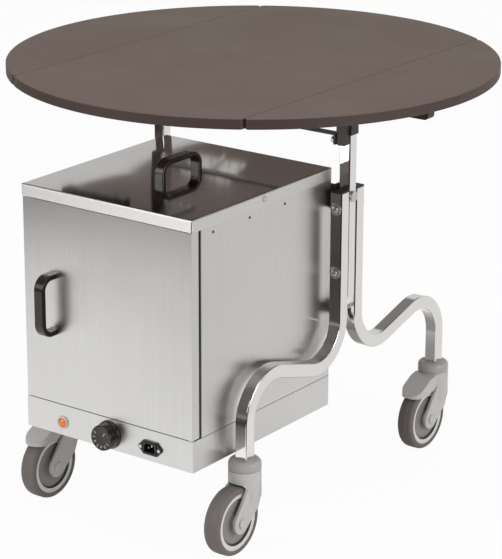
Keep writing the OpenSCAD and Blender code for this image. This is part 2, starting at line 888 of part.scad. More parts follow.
// One half hinge seen from its own side: strap towards +x from the axis
module half_hinge(knuckles) {
    difference() {
        union() {
            block(notch_in, hinge_strap_l, -hinge_w / 2, hinge_w / 2,
                  notch_in - hinge_strap_t, notch_in);
            for (k = knuckles) translate([0, k * knuckle_l, 0]) {
                rod_y(knuckle_r, -knuckle_l / 2 + knuckle_gap / 2, knuckle_l / 2 - knuckle_gap / 2);
                block(0, notch_in + over, -knuckle_l / 2 + knuckle_gap / 2,
                      knuckle_l / 2 - knuckle_gap / 2, notch_in - hinge_strap_t, notch_in);
            }
        }
        rod_y(hinge_pin_r + running_play, -hinge_w, hinge_w);
        for (s = [-1, 1], d = strap_screw_in) translate([d, s * strap_screw_y, 0])
            rod_z(wood_screw_r + bolt_play, 0, 2 * notch_in);
    }
}

// The hinge halves under the middle board, with the two outer knuckles
module panel_hinges() {
    color("dimgray") both_sides() for (h = [-1, 1])
        translate([hinge_x, h * hinge_spacing / 2, hinge_z]) mirror([1, 0, 0]) half_hinge([-1, 1]);
}

module hinge_pins() {
    head_t = 1.5;
    color("gainsboro") both_sides() for (h = [-1, 1])
        translate([hinge_x, h * hinge_spacing / 2, hinge_z]) {
            rod_y(hinge_pin_r, -hinge_w / 2 - eps, hinge_w / 2 + eps);
            for (s = [-1, 1]) scale([1, s, 1])
                rod_y(hinge_pin_r + 1, hinge_w / 2, hinge_w / 2 + head_t);
        }
}

// The leaf's hinge halves with their screws
module leaf_hinges() {
    color("dimgray") for (h = [-1, 1])
        translate([hinge_x, h * hinge_spacing / 2, hinge_z]) half_hinge([0]);
    color("gainsboro") strap_screw_places(1) wood_screw(board_z - hinge_strap_t);
}

// A folded steel rail under the leaf, open towards the board, with its screws
module leaf_rail() {
    color("black") difference() {
        translate([0, -rail_offset, 0]) in_xz(rail_w) difference() {
            translate([rail_x, board_z - rail_h]) union() {
                square([rail_l - rail_nose_r, rail_h]);
                translate([0, rail_nose_r]) square([rail_l, rail_h - rail_nose_r]);
                translate([rail_l - rail_nose_r, rail_nose_r]) circle(rail_nose_r);
            }
        }
        block(rail_x + rail_wall, rail_x + rail_l - rail_wall - rail_nose_r,
              -rail_offset - rail_w / 2 + rail_wall, -rail_offset + rail_w / 2 - rail_wall,
              board_z - rail_h + rail_wall, board_z + over);
        rail_screw_places()
            rod_z(wood_screw_r + bolt_play, board_z - rail_h - over, board_z);
    }
    color("gainsboro") rail_screw_places() wood_screw(board_z - rail_h);
}

// ---------- hot box ----------

// Folded outer sheet of the heated body, open at the front
module cabinet_shell() {
    color("lightgray") difference() {
        block(-box_x, box_x, body_y + sheet_t, back_y, body_z, cover_z);
        block(sheet_t - box_x, box_x - sheet_t, body_y, back_y - sheet_t,
              body_z + sheet_t, cover_z - sheet_t);
    }
}

// One pressed ledge along a side wall, flat on top
module ledge() {
    outline = [[0, 0], [-ledge_w, 0], [-ledge_w, -ledge_w / 2], [0, -2 * ledge_w]];
    in_xz(cavity_y - body_y - window_in) polygon(outline);
}

// Inner box with its front flange and the shelf ledges
module cabinet_liner() {
    color("gainsboro") {
        difference() {
            union() {
                block(-box_x, box_x, body_y, body_y + sheet_t, body_z, cover_z);
                block(-cavity_x - liner_t, cavity_x + liner_t, body_y, cavity_y + liner_t,
                      cavity_z - liner_t, cavity_top_z + liner_t);
            }
            block(-cavity_x, cavity_x, body_y - over, cavity_y, cavity_z, cavity_top_z);
        }
        both_sides() for (i = [0 : ledge_count - 1])
            translate([cavity_x + liner_t / 2, (body_y + cavity_y) / 2,
                       cavity_z + ledge_first + i * ledge_pitch]) ledge();
    }
}

// A shallow cover whose upper edges are all rounded
module cover_form(w, d, h, r) {
    intersection() {
        in_xz(d) cover_profile(w, h, r);
        in_yz(w) cover_profile(d, h, r);
        linear_extrude(h) rounded_rect(w, d, r);
    }
}

module cover_profile(w, h, r) {
    translate([-w / 2, 0]) square([w, h - r]);
    translate([r - w / 2, 0]) square([w - 2 * r, h]);
    for (s = [-1, 1]) translate([s * (w / 2 - r), h - r]) circle(r);
}

module cabinet_cover() {
    w = box_w + 2 * cover_overhang;
    d = box_d + 2 * cover_overhang;
    color("lightgray") difference() {
        translate([0, mid_y, cover_z]) cover_form(w, d, cover_h, cover_edge_r);
        block(sheet_t - box_x, box_x - sheet_t, front_y + sheet_t, back_y - sheet_t,
              cover_z + sheet_t, cover_top_z - sheet_t);
        block(window_in - box_x, box_x - window_in, body_y + window_in, back_y - window_in,
              cover_z - over, cover_z + 2 * sheet_t);
        translate([pivot_x, pivot_y, 0]) rod_z(pivot_r + running_play, cover_z - over,
                                               cover_z + 2 * sheet_t);
        both_sides() translate([0, mid_y, cover_z + cover_h / 2])
            rod_x(cover_screw_r / 2 + bolt_play, box_x - 2 * sheet_t, box_x + 2 * cover_overhang);
    }
}

// Rivets along the side panels and the cover's side screws
module side_fixings() {
    rivet_z = cover_z - rivet_drop;
    head_x = box_x + cover_overhang;
    color("gainsboro") both_sides() {
        for (i = [-1, 0, 1]) translate([box_x, mid_y + i * rivet_pitch - rivet_shift, rivet_z])
            intersection() {
                rod_x(rivet_r, 0, rivet_t);
                translate([rivet_t - 2 * rivet_r, 0, 0]) sphere(2 * rivet_r);
            }
        translate([0, mid_y, cover_z + cover_h / 2]) {
            rod_x(cover_screw_r / 2, box_x - cover_screw_l, head_x + eps);
            rod_x(cover_screw_r, head_x, head_x + cover_screw_t);
        }
    }
}

// A bridge handle on the plane z = 0, its length along Y
module bridge_handle() {
    side = handle_l / 2 - handle_t / 2;
    top = handle_h - handle_t / 2;
    run = side - handle_bend_r;
    rotate([quarter, 0, quarter]) {
        for (s = [-1, 1]) scale([s, 1, 1]) {
            translate([side, 0]) bar_up(handle_t, handle_w, handle_edge_r, top - handle_bend_r);
            translate([run, top - handle_bend_r])
                bar_bend(handle_t, handle_w, handle_edge_r, handle_bend_r, 0, quarter);
        }
        translate([-run, top]) rotate([0, 0, -quarter])
            bar_up(handle_t, handle_w, handle_edge_r, 2 * run);
    }
}

module cover_handle() {
    color("black") translate([0, mid_y, cover_top_z]) bridge_handle();
}

// Wire shelf on two of the ledges: a frame with round corners and wires across it
module wire_shelf() {
    z = cavity_z + ledge_first + shelf_level * ledge_pitch + shelf_frame_r;
    half_x = cavity_x - shelf_frame_r - over;
    y0 = body_y + window_in / 2;
    y1 = cavity_y - window_in / 2;
    half_y = (y1 - y0) / 2;
    pitch = 2 * half_x / (shelf_wires + 1);
    weld = 0.6;
    color("silver") translate([0, (y0 + y1) / 2, z]) {
        both_sides() translate([half_x, 0, 0])
            rod_y(shelf_frame_r, shelf_bend_r - half_y, half_y - shelf_bend_r);
        both_ends() translate([0, half_y, 0])
            rod_x(shelf_frame_r, shelf_bend_r - half_x, half_x - shelf_bend_r);
        both_sides() both_ends() translate([half_x - shelf_bend_r, half_y - shelf_bend_r, 0])
            rotate_extrude(angle = quarter) translate([shelf_bend_r, 0]) circle(shelf_frame_r);
        for (i = [1 : shelf_wires])
            translate([i * pitch - half_x, 0, shelf_frame_r + shelf_wire_r - weld])
                rod_y(shelf_wire_r, -half_y - over, half_y + over);
    }
}

// Lower housing with the openings for the controls
module plinth() {
    color("lightgray") difference() {
        block(-box_x, box_x, front_y, back_y, box_z, body_z);
        block(sheet_t - box_x, box_x - sheet_t, front_y + sheet_t, back_y - sheet_t,
              box_z + sheet_t, body_z - sheet_t);
        block(window_in - box_x, box_x - window_in, body_y + window_in, back_y - window_in,
              body_z - 2 * sheet_t, body_z + over);
        translate([pivot_x, pivot_y, 0])
            rod_z(pivot_r + running_play, body_z - 2 * sheet_t, body_z + over);
        translate([knob_x, front_y, knob_z])
            rod_y(spindle_r + running_play, -over, 2 * sheet_t);
        translate([-lamp_x, front_y, lamp_z]) rod_y(lens_r + panel_play, -over, 2 * sheet_t);
        translate([inlet_x, front_y, inlet_z]) {
            in_xz(4 * sheet_t) inlet_body_outline(panel_play);
            inlet_screw_places() rod_y(inlet_screw_r + bolt_play, -over, 2 * sheet_t);
        }
    }
}

// ---------- controls ----------

module lamp_bezel() {
    color("linen") translate([-lamp_x, front_y, lamp_z]) rotate([quarter, 0, 0])
        rotate_extrude() translate([lens_r + running_play, 0]) {
            square([bezel_w, bezel_w / 2]);
            translate([bezel_w / 2, bezel_w / 2]) circle(bezel_w / 2);
        }
}

module lamp_lens() {
    dome_r = lens_r * 1.3;
    rise = bezel_w + 2;
    color("orange") translate([-lamp_x, front_y, lamp_z]) rotate([quarter, 0, 0])
        intersection() {
            translate([0, 0, -window_in / 2]) cylinder(h = window_in / 2 + rise, r = lens_r);
            union() {
                translate([0, 0, rise - dome_r]) sphere(dome_r);
                translate([0, 0, -window_in / 2]) cylinder(h = window_in / 2, r = lens_r);
            }
        }
}

module inlet_screw_places() {
    for (s = [-1, 1]) translate([s * inlet_screw_spacing / 2, 0, 0]) children();
}

// Outline of the inlet's part behind the panel, grown by a play
module inlet_body_outline(play) {
    square([inlet_back_w + 2 * play, inlet_back_h + 2 * play], center = true);
}

// Flange with two tapering ears
module inlet_flange_outline() {
    ear = inlet_screw_spacing / 2;
    touch_x = ear + inlet_corner_r;
    touch_y = inlet_ear_r - inlet_ear_slope;
    rounded_rect(inlet_w, inlet_h, inlet_corner_r);
    for (s = [-1, 1]) {
        polygon([[0, inlet_h / 2], [s * inlet_w / 2, inlet_h / 2], [s * touch_x, touch_y],
                 [s * touch_x, -touch_y], [s * inlet_w / 2, -inlet_h / 2], [0, -inlet_h / 2]]);
        translate([s * ear, 0]) circle(inlet_ear_r);
    }
}

// Opening of the socket: two of its corners are cut off
module inlet_recess_outline() {
    w = inlet_w - 6;
    h = inlet_h - 9;
    cut = 5;
    polygon([[-w / 2, -h / 2], [w / 2, -h / 2], [w / 2, h / 2 - cut], [w / 2 - cut, h / 2],
             [cut - w / 2, h / 2], [-w / 2, h / 2 - cut]]);
}

module inlet_body() {
    behind = inlet_depth + 2 - inlet_flange_t - collar_t;
    color("black") translate([inlet_x, front_y, inlet_z]) difference() {
        union() {
            translate([0, -inlet_flange_t / 2, 0]) in_xz(inlet_flange_t) inlet_flange_outline();
            translate([0, behind / 2, 0]) in_xz(behind + 2 * eps) inlet_body_outline(0);
            translate([0, -inlet_flange_t - collar_t / 2, 0]) in_xz(collar_t + 2 * eps)
                rounded_rect(inlet_w - 1, inlet_h - 4, 3);
        }
        translate([0, inlet_depth / 2 - inlet_flange_t - collar_t - over / 2, 0])
            in_xz(inlet_depth + over) inlet_recess_outline();
        inlet_screw_places() rod_y(inlet_screw_r + bolt_play, -window_in, window_in);
    }
}

// Contact blades and the two screws of the inlet
module inlet_pins() {
    floor_y = inlet_depth - inlet_flange_t - collar_t;
    blade_w = 2;
    blade_h = 4;
    blade_pitch = 7;
    head_r = 3.1;
    head_t = 1.6;
    color("gainsboro") translate([inlet_x, front_y, inlet_z]) {
        for (i = [-1, 0, 1]) translate([i * blade_pitch, floor_y, (i == 0) ? blade_w : -blade_w])
            block(-blade_w / 2, blade_w / 2, -inlet_pin_l, 0, -blade_h / 2, blade_h / 2);
        inlet_screw_places() {
            rod_y(inlet_screw_r, -inlet_flange_t - eps, 6);
            rod_y(head_r, -inlet_flange_t - head_t, -inlet_flange_t);
        }
    }
}

// Thermostat knob: skirt, tapering grip, dished face, and its spindle
module knob() {
    skirt_t = 4;
    dish = 1;
    bevel = 1.5;
    lip = 3;
    spindle_l = 12;
    color("black") translate([knob_x, front_y - bearing_gap, knob_z]) rotate([quarter, 0, 0]) {
        rotate_extrude() polygon([
            [0, 0], [knob_skirt_r, 0], [knob_skirt_r, skirt_t / 2], [knob_skirt_r - bevel, skirt_t],
            [knob_face_r + bevel, knob_h - bevel], [knob_face_r, knob_h],
            [knob_face_r - lip, knob_h], [knob_face_r - lip - dish, knob_h - dish],
            [0, knob_h - dish]
        ]);
        translate([0, 0, -spindle_l]) cylinder(h = spindle_l + eps, r = spindle_r);
    }
}

// ---------- door ----------

// Fixed pivot pins at the door's lower and upper corners
module door_pins() {
    collar_r = pivot_r + 2;
    collar_h = door_gap - bearing_gap;
    color("gainsboro") translate([pivot_x, pivot_y, 0]) {
        rod_z(pivot_r, body_z - 2 * sheet_t + over, door_z0 + pivot_l);
        rod_z(collar_r, body_z, body_z + collar_h);
        rod_z(pivot_r, door_z1 - pivot_l, cover_z + 2 * sheet_t - over);
        rod_z(collar_r, cover_z - collar_h, cover_z);
    }
}

// Folded front pan with the bosses that turn on the pivot pins
module door_panel() {
    boss_l = pivot_l + 2;
    color("lightgray") difference() {
        union() {
            difference() {
                block(-door_x, door_x, front_y, door_back_y - sheet_t, door_z0, door_z1);
                block(sheet_t - door_x, door_x - sheet_t, front_y + sheet_t, door_back_y,
                      door_z0 + sheet_t, door_z1 - sheet_t);
            }
            translate([pivot_x, pivot_y, 0]) {
                rod_z(boss_r, door_z0, door_z0 + boss_l);
                rod_z(boss_r, door_z1 - boss_l, door_z1);
            }
        }
        translate([pivot_x, pivot_y, 0]) {
            rod_z(pivot_r + running_play, door_z0 - over, door_z0 + pivot_l + bearing_gap);
            rod_z(pivot_r + running_play, door_z1 - pivot_l - bearing_gap, door_z1 + over);
        }
    }
}

// Inner sheet of the door with its panel raised towards the cavity
module door_liner() {
    y0 = door_back_y - sheet_t;
    y1 = door_back_y + plug_t;
    z0 = cavity_z + plug_margin;
    z1 = cavity_top_z - plug_margin;
    color("gainsboro") difference() {
        union() {
            block(-door_x, door_x, y0, door_back_y, door_z0, door_z1);
            translate([0, y1, (z0 + z1) / 2]) rotate([quarter, 0, 0])
                linear_extrude(plug_t + eps) rounded_rect(2 * plug_x, z1 - z0, plug_corner_r);
        }
        translate([0, y1 - sheet_t, (z0 + z1) / 2]) rotate([quarter, 0, 0])
            linear_extrude(plug_t + over)
                rounded_rect(2 * (plug_x - sheet_t), z1 - z0 - 2 * sheet_t,
                             plug_corner_r - sheet_t);
    }
}

// Rubber frame that closes on the heated body's flange
module door_seal() {
    y1 = body_y - bearing_gap;
    mid_x = seal_x - seal_w / 2;
    mid_z = (seal_z1 - seal_z0 - seal_w) / 2;
    half_g = seal_groove_w / 2;
    color("black") difference() {
        block(-seal_x, seal_x, door_back_y, y1, seal_z0, seal_z1);
        block(seal_w - seal_x, seal_x - seal_w, door_back_y - over, y1 + over,
              seal_z0 + seal_w, seal_z1 - seal_w);
        translate([0, 0, (seal_z0 + seal_z1) / 2]) difference() {
            block(-mid_x - half_g, mid_x + half_g, y1 - seal_groove_d, y1 + over,
                  -mid_z - half_g, mid_z + half_g);
            block(half_g - mid_x, mid_x - half_g, y1 - seal_groove_d - over, y1 + 2 * over,
                  half_g - mid_z, mid_z - half_g);
        }
    }
}

module door_handle() {
    color("black") translate([-door_handle_x, front_y, door_handle_z])
        rotate([quarter, 0, 0]) bridge_handle();
}

// ---------- castors ----------

// Puts a castor's parts on the swivel axis of one leg
module at_leg(sx, sy) {
    translate([sx * frame_x, sy * leg_reach, 0]) children();
}

// Sockets on the legs' lower ends, with plug and swivel pin
module caster_sockets() {
    seat = leg_tube + 2 * seat_play;
    plug = leg_tube - 2 * tube_wall - 2 * plug_play;
    color("silver") for (sx = [-1, 1], sy = [-1, 1]) at_leg(sx, sy) {
        difference() {
            translate([0, 0, socket_z]) rotate_extrude() {
                square([head_r, socket_h - socket_round_r]);
                square([head_r - socket_round_r, socket_h]);
                translate([head_r - socket_round_r, socket_h - socket_round_r])
                    circle(socket_round_r);
            }
            translate([0, 0, leg_bottom_z]) linear_extrude(seat_depth + over)
                rounded_rect(seat, seat, tube_corner_r);
        }
        translate([0, 0, leg_bottom_z - eps]) linear_extrude(socket_plug_l)
            rounded_rect(plug, plug, tube_corner_r - tube_wall);
        rod_z(kingpin_r, fork_top_z - kingpin_l, socket_z + eps);
    }
}

// Side outline of a fork's arm, from its head to the axle
module arm_outline() {
    translate([-trail, hub_z]) circle(fork_end_r);
    side_y = fork_end_r * 0.8;
    side_z = fork_end_r * 0.6;
    polygon([
        [-trail - side_y, hub_z + side_z], [-arm_half_w - 4, fork_top_z - shoulder_in],
        [arm_half_w, fork_top_z - shoulder_in], [arm_half_w, fork_top_z - neck_in],
        [neck_half_w, hub_z + side_y], [arm_lean - trail, hub_z - side_y + over]
    ]);
}

// Fork with its round head, two arms and the arch over the wheel
module fork() {
    head_z = fork_top_z - fork_head_h;
    color("lightgray") difference() {
        union() {
            translate([0, 0, head_z]) rotate_extrude() {
                square([head_r, fork_head_h - fork_edge_r]);
                square([head_r - fork_edge_r, fork_head_h]);
                translate([head_r - fork_edge_r, fork_head_h - fork_edge_r])
                    circle(fork_edge_r);
            }
            for (s = [-1, 1]) translate([s * (fork_half_gap + fork_arm_t / 2), 0, 0])
                in_yz(fork_arm_t) arm_outline();
        }
        translate([0, -trail, hub_z]) rod_x(arch_r, -fork_half_gap, fork_half_gap);
        block(-fork_half_gap, fork_half_gap, -head_r - over, head_r + over,
              hub_z - head_r, head_z + fork_cut_h);
        translate([0, -trail, hub_z])
            rod_x(axle_r + running_play, -arm_out_x - over, arm_out_x + over);
        rod_z(kingpin_r + running_play, fork_top_z - kingpin_l - bearing_gap, fork_top_z + over);
    }
}

// Fork with the lug and pin that carry the brake pedal
module brake_fork() {
    fork();
    color("lightgray") difference() {
        union() {
            translate([0, -pedal_pivot_y, pedal_pivot_z]) rod_x(lug_r, -lug_half_w, lug_half_w);
            block(-lug_half_w, lug_half_w, -pedal_pivot_y, 2 - head_r,
                  pedal_pivot_z - lug_r, pedal_pivot_z + lug_r);
        }
        translate([0, -trail, hub_z]) rod_x(arch_r, -fork_half_gap, fork_half_gap);
    }
    color("gainsboro") translate([0, -pedal_pivot_y, pedal_pivot_z])
        rod_x(pedal_pin_r, -lug_half_w - ear_gap - ear_t, lug_half_w + ear_gap + ear_t);
}

// Domed over the wheel, open below, with two ears inside for its pivot pin
module brake_pedal() {
    top_z = fork_top_z - 1.5;
    tip_y = -pedal_l;
    side = [
        [-22, top_z - 1.5], [-26, top_z], [-44, top_z - 3.5], [-72, fork_top_z - 20],
        [tip_y, fork_top_z - 31.5], [tip_y, fork_top_z - 35], [-78, fork_top_z - 35.5],
        [-32, fork_top_z - 31], [-22, fork_top_z - 17]
    ];
    inner = [
        [-10, top_z - pedal_wall], [-26, top_z - pedal_wall], [-43, top_z - 3.5 - pedal_wall],
        [-71, fork_top_z - 20 - pedal_wall], [tip_y + 1, fork_top_z - 31 - pedal_wall],
        [tip_y - 10, fork_top_z - 60], [-10, fork_top_z - 60]
    ];
    color("lightgray") difference() {
        union() {
            difference() {
                intersection() {
                    in_yz(2 * pedal_half_w) polygon(side);
                    pedal_plan(pedal_half_w);
                }
                intersection() {
                    in_yz(2 * (pedal_half_w - pedal_wall)) polygon(inner);
                    pedal_plan(pedal_half_w - pedal_wall);
                }
            }
            for (s = [-1, 1]) translate([s * (lug_half_w + ear_gap + ear_t / 2), 0, 0])
                in_yz(ear_t) {
                    translate([-pedal_pivot_y, pedal_pivot_z]) circle(lug_r);
                    polygon([[-pedal_pivot_y - lug_r, pedal_pivot_z],
                             [-pedal_pivot_y + lug_r, pedal_pivot_z],
                             [-pedal_pivot_y + lug_r, top_z - over], [-44, top_z - 5]]);
                }
        }
        rod_z(head_r + pedal_play, 0, 2 * fork_top_z);
        translate([0, -pedal_pivot_y, pedal_pivot_z])
            rod_x(pedal_pin_r + running_play, -pedal_half_w + pedal_wall, pedal_half_w - pedal_wall);
    }
}

// Plan of the pedal: straight sides and a round tip
module pedal_plan(half_w) {
    tip_r = pedal_half_w;
    linear_extrude(2 * fork_top_z) {
        translate([-half_w, tip_r - pedal_l]) square([2 * half_w, pedal_l]);
        translate([0, tip_r - pedal_l]) circle(half_w);
    }
}

// Axle with a low round head on each side of the fork
module axle() {
    color("gainsboro") translate([0, -trail, hub_z]) {
        rod_x(axle_r, -arm_out_x - eps, arm_out_x + eps);
        for (s = [-1, 1]) scale([s, 1, 1]) translate([arm_out_x, 0, 0])
            rotate([0, quarter, 0]) rotate_extrude() {
                square([axle_head_r - axle_round_r, axle_head_t]);
                square([axle_head_r, axle_head_t - axle_round_r]);
                translate([axle_head_r - axle_round_r, axle_head_t - axle_round_r])
                    circle(axle_round_r);
            }
    }
}

// Turns a profile of radius against width about the wheel's axle
module about_axle() {
    translate([0, -trail, hub_z]) rotate([0, quarter, 0]) rotate_extrude() children();
}

// Wheel body: hub, recessed disc and raised ring
module wheel_body() {
    hub_half = fork_half_gap - bearing_gap;
    ring_r = rim_r - rim_ring_h;
    outer_r = rim_r - tyre_seat_gap;
    color("lightgray") about_axle() difference() {
        union() {
            polygon([[0, -hub_half], [hub_r, -hub_half], [hub_r + ring_slope, -disc_half_t],
                     [hub_r + ring_slope, disc_half_t], [hub_r, hub_half], [0, hub_half]]);
            translate([0, -disc_half_t]) square([outer_r, 2 * disc_half_t]);
            polygon([[ring_r - ring_slope, -disc_half_t], [ring_r, -ring_half_t],
                     [outer_r, -ring_half_t], [outer_r, ring_half_t],
                     [ring_r, ring_half_t], [ring_r - ring_slope, disc_half_t]]);
        }
        translate([0, -hub_half - over])
            square([axle_r + running_play, 2 * (hub_half + over)]);
    }
}

module tyre() {
    color("gray") about_axle() intersection() {
        translate([wheel_d / 2 - tyre_h, -tyre_w / 2]) square([tyre_h, tyre_w]);
        translate([wheel_d / 2 - tyre_w, 0]) rounded_rect(2 * tyre_w, tyre_w, shoulder_r);
    }
}

// ---------- the parts ----------

upright_frame();
mirror([0, 1, 0]) leg();  // leg_front_right
leg();  // leg_rear_right
mirror([1, 0, 0]) mirror([0, 1, 0]) leg();  // leg_front_left
mirror([1, 0, 0]) leg();  // leg_rear_left
leg_caps();
leg_bolts();
hanger_pins();
hanger_hooks();
rear_buffers();
top_brackets();
cross_brace();
bracket_bolts();
centre_panel();
panel_screws();
panel_hinges();
hinge_pins();
leaf();  // leaf_right
mirror([1, 0, 0]) leaf();  // leaf_left
leaf_hinges();  // leaf_hinges_right
mirror([1, 0, 0]) leaf_hinges();  // leaf_hinges_left
leaf_rail();  // leaf_rail_right
mirror([1, 0, 0]) leaf_rail();  // leaf_rail_left
cabinet_shell();
cabinet_liner();
cabinet_cover();
side_fixings();
cover_handle();
wire_shelf();
plinth();
lamp_bezel();
lamp_lens();
inlet_body();
inlet_pins();
door_pins();
door_panel();
door_liner();
door_seal();
door_handle();
knob();
caster_sockets();
at_leg(1, -1) fork();  // fork_front_right
at_leg(1, -1) axle();  // axle_front_right
at_leg(1, -1) wheel_body();  // wheel_front_right
at_leg(1, -1) tyre();  // tyre_front_right
at_leg(1, 1) brake_fork();  // fork_rear_right
at_leg(1, 1) axle();  // axle_rear_right
at_leg(1, 1) wheel_body();  // wheel_rear_right
at_leg(1, 1) tyre();  // tyre_rear_right
at_leg(-1, -1) brake_fork();  // fork_front_left
at_leg(-1, -1) axle();  // axle_front_left
at_leg(-1, -1) wheel_body();  // wheel_front_left
at_leg(-1, -1) tyre();  // tyre_front_left
at_leg(-1, 1) fork();  // fork_rear_left
at_leg(-1, 1) axle();  // axle_rear_left
at_leg(-1, 1) wheel_body();  // wheel_rear_left
at_leg(-1, 1) tyre();  // tyre_rear_left
at_leg(-1, -1) brake_pedal();  // pedal_front_left
at_leg(1, 1) brake_pedal();  // pedal_rear_right
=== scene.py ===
# %% [markdown]
# # A room service table, dressed for its portrait
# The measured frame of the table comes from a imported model, and this lesson
# gives it its looks. Every piece is placed in metres, in the same space as the
# frame, so nothing has to be fitted by eye. +Z is up and the hot box's door
# faces -Y.

# %% Load the frame
import json
import math

import bmesh
import bpy
import numpy as np
from mathutils import Matrix, Vector

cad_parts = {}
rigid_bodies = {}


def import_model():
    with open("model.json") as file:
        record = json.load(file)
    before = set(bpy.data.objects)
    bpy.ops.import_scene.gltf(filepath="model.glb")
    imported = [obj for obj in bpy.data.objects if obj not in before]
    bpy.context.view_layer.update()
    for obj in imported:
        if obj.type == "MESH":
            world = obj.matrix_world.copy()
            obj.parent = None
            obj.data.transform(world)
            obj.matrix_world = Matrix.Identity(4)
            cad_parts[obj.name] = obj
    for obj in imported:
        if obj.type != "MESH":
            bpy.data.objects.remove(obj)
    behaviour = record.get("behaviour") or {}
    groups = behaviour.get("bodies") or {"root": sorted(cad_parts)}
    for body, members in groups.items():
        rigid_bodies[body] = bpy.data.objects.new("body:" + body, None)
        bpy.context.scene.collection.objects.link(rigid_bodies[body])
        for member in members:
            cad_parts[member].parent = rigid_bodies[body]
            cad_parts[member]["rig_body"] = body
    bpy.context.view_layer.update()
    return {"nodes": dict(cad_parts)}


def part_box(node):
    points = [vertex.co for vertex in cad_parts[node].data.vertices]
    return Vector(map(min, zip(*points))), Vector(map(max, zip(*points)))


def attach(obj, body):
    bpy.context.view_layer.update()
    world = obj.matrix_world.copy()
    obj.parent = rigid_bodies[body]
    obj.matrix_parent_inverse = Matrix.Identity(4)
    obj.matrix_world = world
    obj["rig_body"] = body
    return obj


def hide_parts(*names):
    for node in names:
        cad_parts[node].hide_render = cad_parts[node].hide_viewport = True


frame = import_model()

NODES = frame["nodes"]
MM = 0.001

# %% [markdown]
# ## The camera
# A portrait needs the photographer's place before anything else. This one stood
# to the right of the door, a good four metres away, with a long lens, so the
# table's uprights stay almost parallel. The picture was cropped off centre
# afterwards, which a small lens shift repeats.

# %% Camera
AZIMUTH, ELEVATION = math.radians(36.948), math.radians(18.425)
CAMERA_PLACE = Vector((2.5391, -3.4575, 1.8085))
LENS, SENSOR = 154.85, 36.0
SHIFT_X, SHIFT_Y = 0.0445, -0.0054


def looking_back(azimuth, elevation):
    """The direction from the object to the camera: the azimuth turns it from -Y
    towards +X, and the elevation lifts it above the horizon."""
    return Vector((math.sin(azimuth) * math.cos(elevation),
                   -math.cos(azimuth) * math.cos(elevation),
                   math.sin(elevation)))


def into_scene(name, data):
    """A new object for the data, linked to the scene."""
    made = bpy.data.objects.new(name, data)
    bpy.context.scene.collection.objects.link(made)
    return made


camera_data = bpy.data.cameras.new("camera")
camera_data.lens = LENS
camera_data.sensor_width = SENSOR
camera_data.shift_x = SHIFT_X
camera_data.shift_y = SHIFT_Y
camera = into_scene("camera", camera_data)
back = looking_back(AZIMUTH, ELEVATION)
right = Vector((math.cos(AZIMUTH), math.sin(AZIMUTH), 0.0))
turned = Matrix((right, back.cross(right), back)).transposed()
camera.matrix_world = Matrix.Translation(CAMERA_PLACE) @ turned.to_4x4()
bpy.context.scene.camera = camera
bpy.context.scene.view_settings.view_transform = "Standard"
print("camera", tuple(round(v, 3) for v in camera.location))

# %% [markdown]
# ## Node groups
# A shader node group is a recipe with named knobs. Each effect that several
# finishes share is written once here: brushed grain, cloudy haze, and fine
# speckle. A group only puts out values that change over the surface. The shader
# itself stays in each material.

# %% Helpers for node trees
def link(tree, source, target):
    """Joins an output socket to an input socket."""
    tree.links.new(source, target)


def add_node(tree, kind, values=(), **settings):
    """Adds a node, sets its attributes, and sets the named inputs."""
    node = tree.nodes.new(kind)
    for name, value in settings.items():
        setattr(node, name, value)
    for name, value in dict(values).items():
        node.inputs[name].default_value = value
    return node


def new_group(name, inputs, outputs):
    """An empty shader group with float inputs, and float or vector outputs."""
    group = bpy.data.node_groups.new(name, "ShaderNodeTree")
    for title, kind, value in inputs:
        socket = group.interface.new_socket(title, in_out="INPUT", socket_type=kind)
        if value is not None:
            socket.default_value = value
    for title, kind in outputs:
        group.interface.new_socket(title, in_out="OUTPUT", socket_type=kind)
    return group, group.nodes.new("NodeGroupInput"), group.nodes.new("NodeGroupOutput")


FLOAT, VECTOR = "NodeSocketFloat", "NodeSocketVector"


def math_node(tree, operation, first, second):
    """One step of arithmetic. Each operand is a number or the socket it comes from."""
    node = tree.nodes.new("ShaderNodeMath")
    node.operation = operation
    for socket, value in zip(node.inputs, (first, second)):
        if isinstance(value, (int, float)):
            socket.default_value = value
        else:
            link(tree, value, socket)
    return node.outputs[0]


# %% [markdown]
# Brushed steel is drawn past a belt of fine grit, so it carries thousands of
# hair lines in one direction. Noise that is squeezed across the lines and
# stretched along them gives exactly that, at two sizes: the single hairs, and
# the broader bands in which the belt pressed harder.

# %% Brushed grain
def make_grain():
    """Stretched noise. Lines per metre across and along the grain come from the
    inputs. The hairs and the bands come out apart, the bands about eight times as
    broad across the grain."""
    group, start, end = new_group(
        "brushed_grain",
        [("Vector", VECTOR, None), ("Across", FLOAT, 900.0), ("Along", FLOAT, 6.0)],
        [("Line", FLOAT), ("Band", FLOAT)])
    for title, share in (("Line", 1.0), ("Band", 0.12)):
        across = math_node(group, "MULTIPLY", start.outputs["Across"], share)
        scale = add_node(group, "ShaderNodeCombineXYZ")
        link(group, across, scale.inputs["X"])
        link(group, across, scale.inputs["Y"])
        link(group, start.outputs["Along"], scale.inputs["Z"])
        stretch = add_node(group, "ShaderNodeVectorMath", operation="MULTIPLY")
        link(group, start.outputs["Vector"], stretch.inputs[0])
        link(group, scale.outputs[0], stretch.inputs[1])
        noise = add_node(group, "ShaderNodeTexNoise", {"Scale": 1.0, "Detail": 2.0})
        link(group, stretch.outputs[0], noise.inputs["Vector"])
        link(group, noise.outputs["Fac"], end.inputs[title])
    return group


GRAIN = make_grain()

# %% [markdown]
# Nothing polished is evenly clean. Haze is a slow cloud of noise with a finer
# one in it, used for the faint marks that hands and cloths leave. Speckle is a
# fine, even noise for laminate, cast paint and moulded plastic.

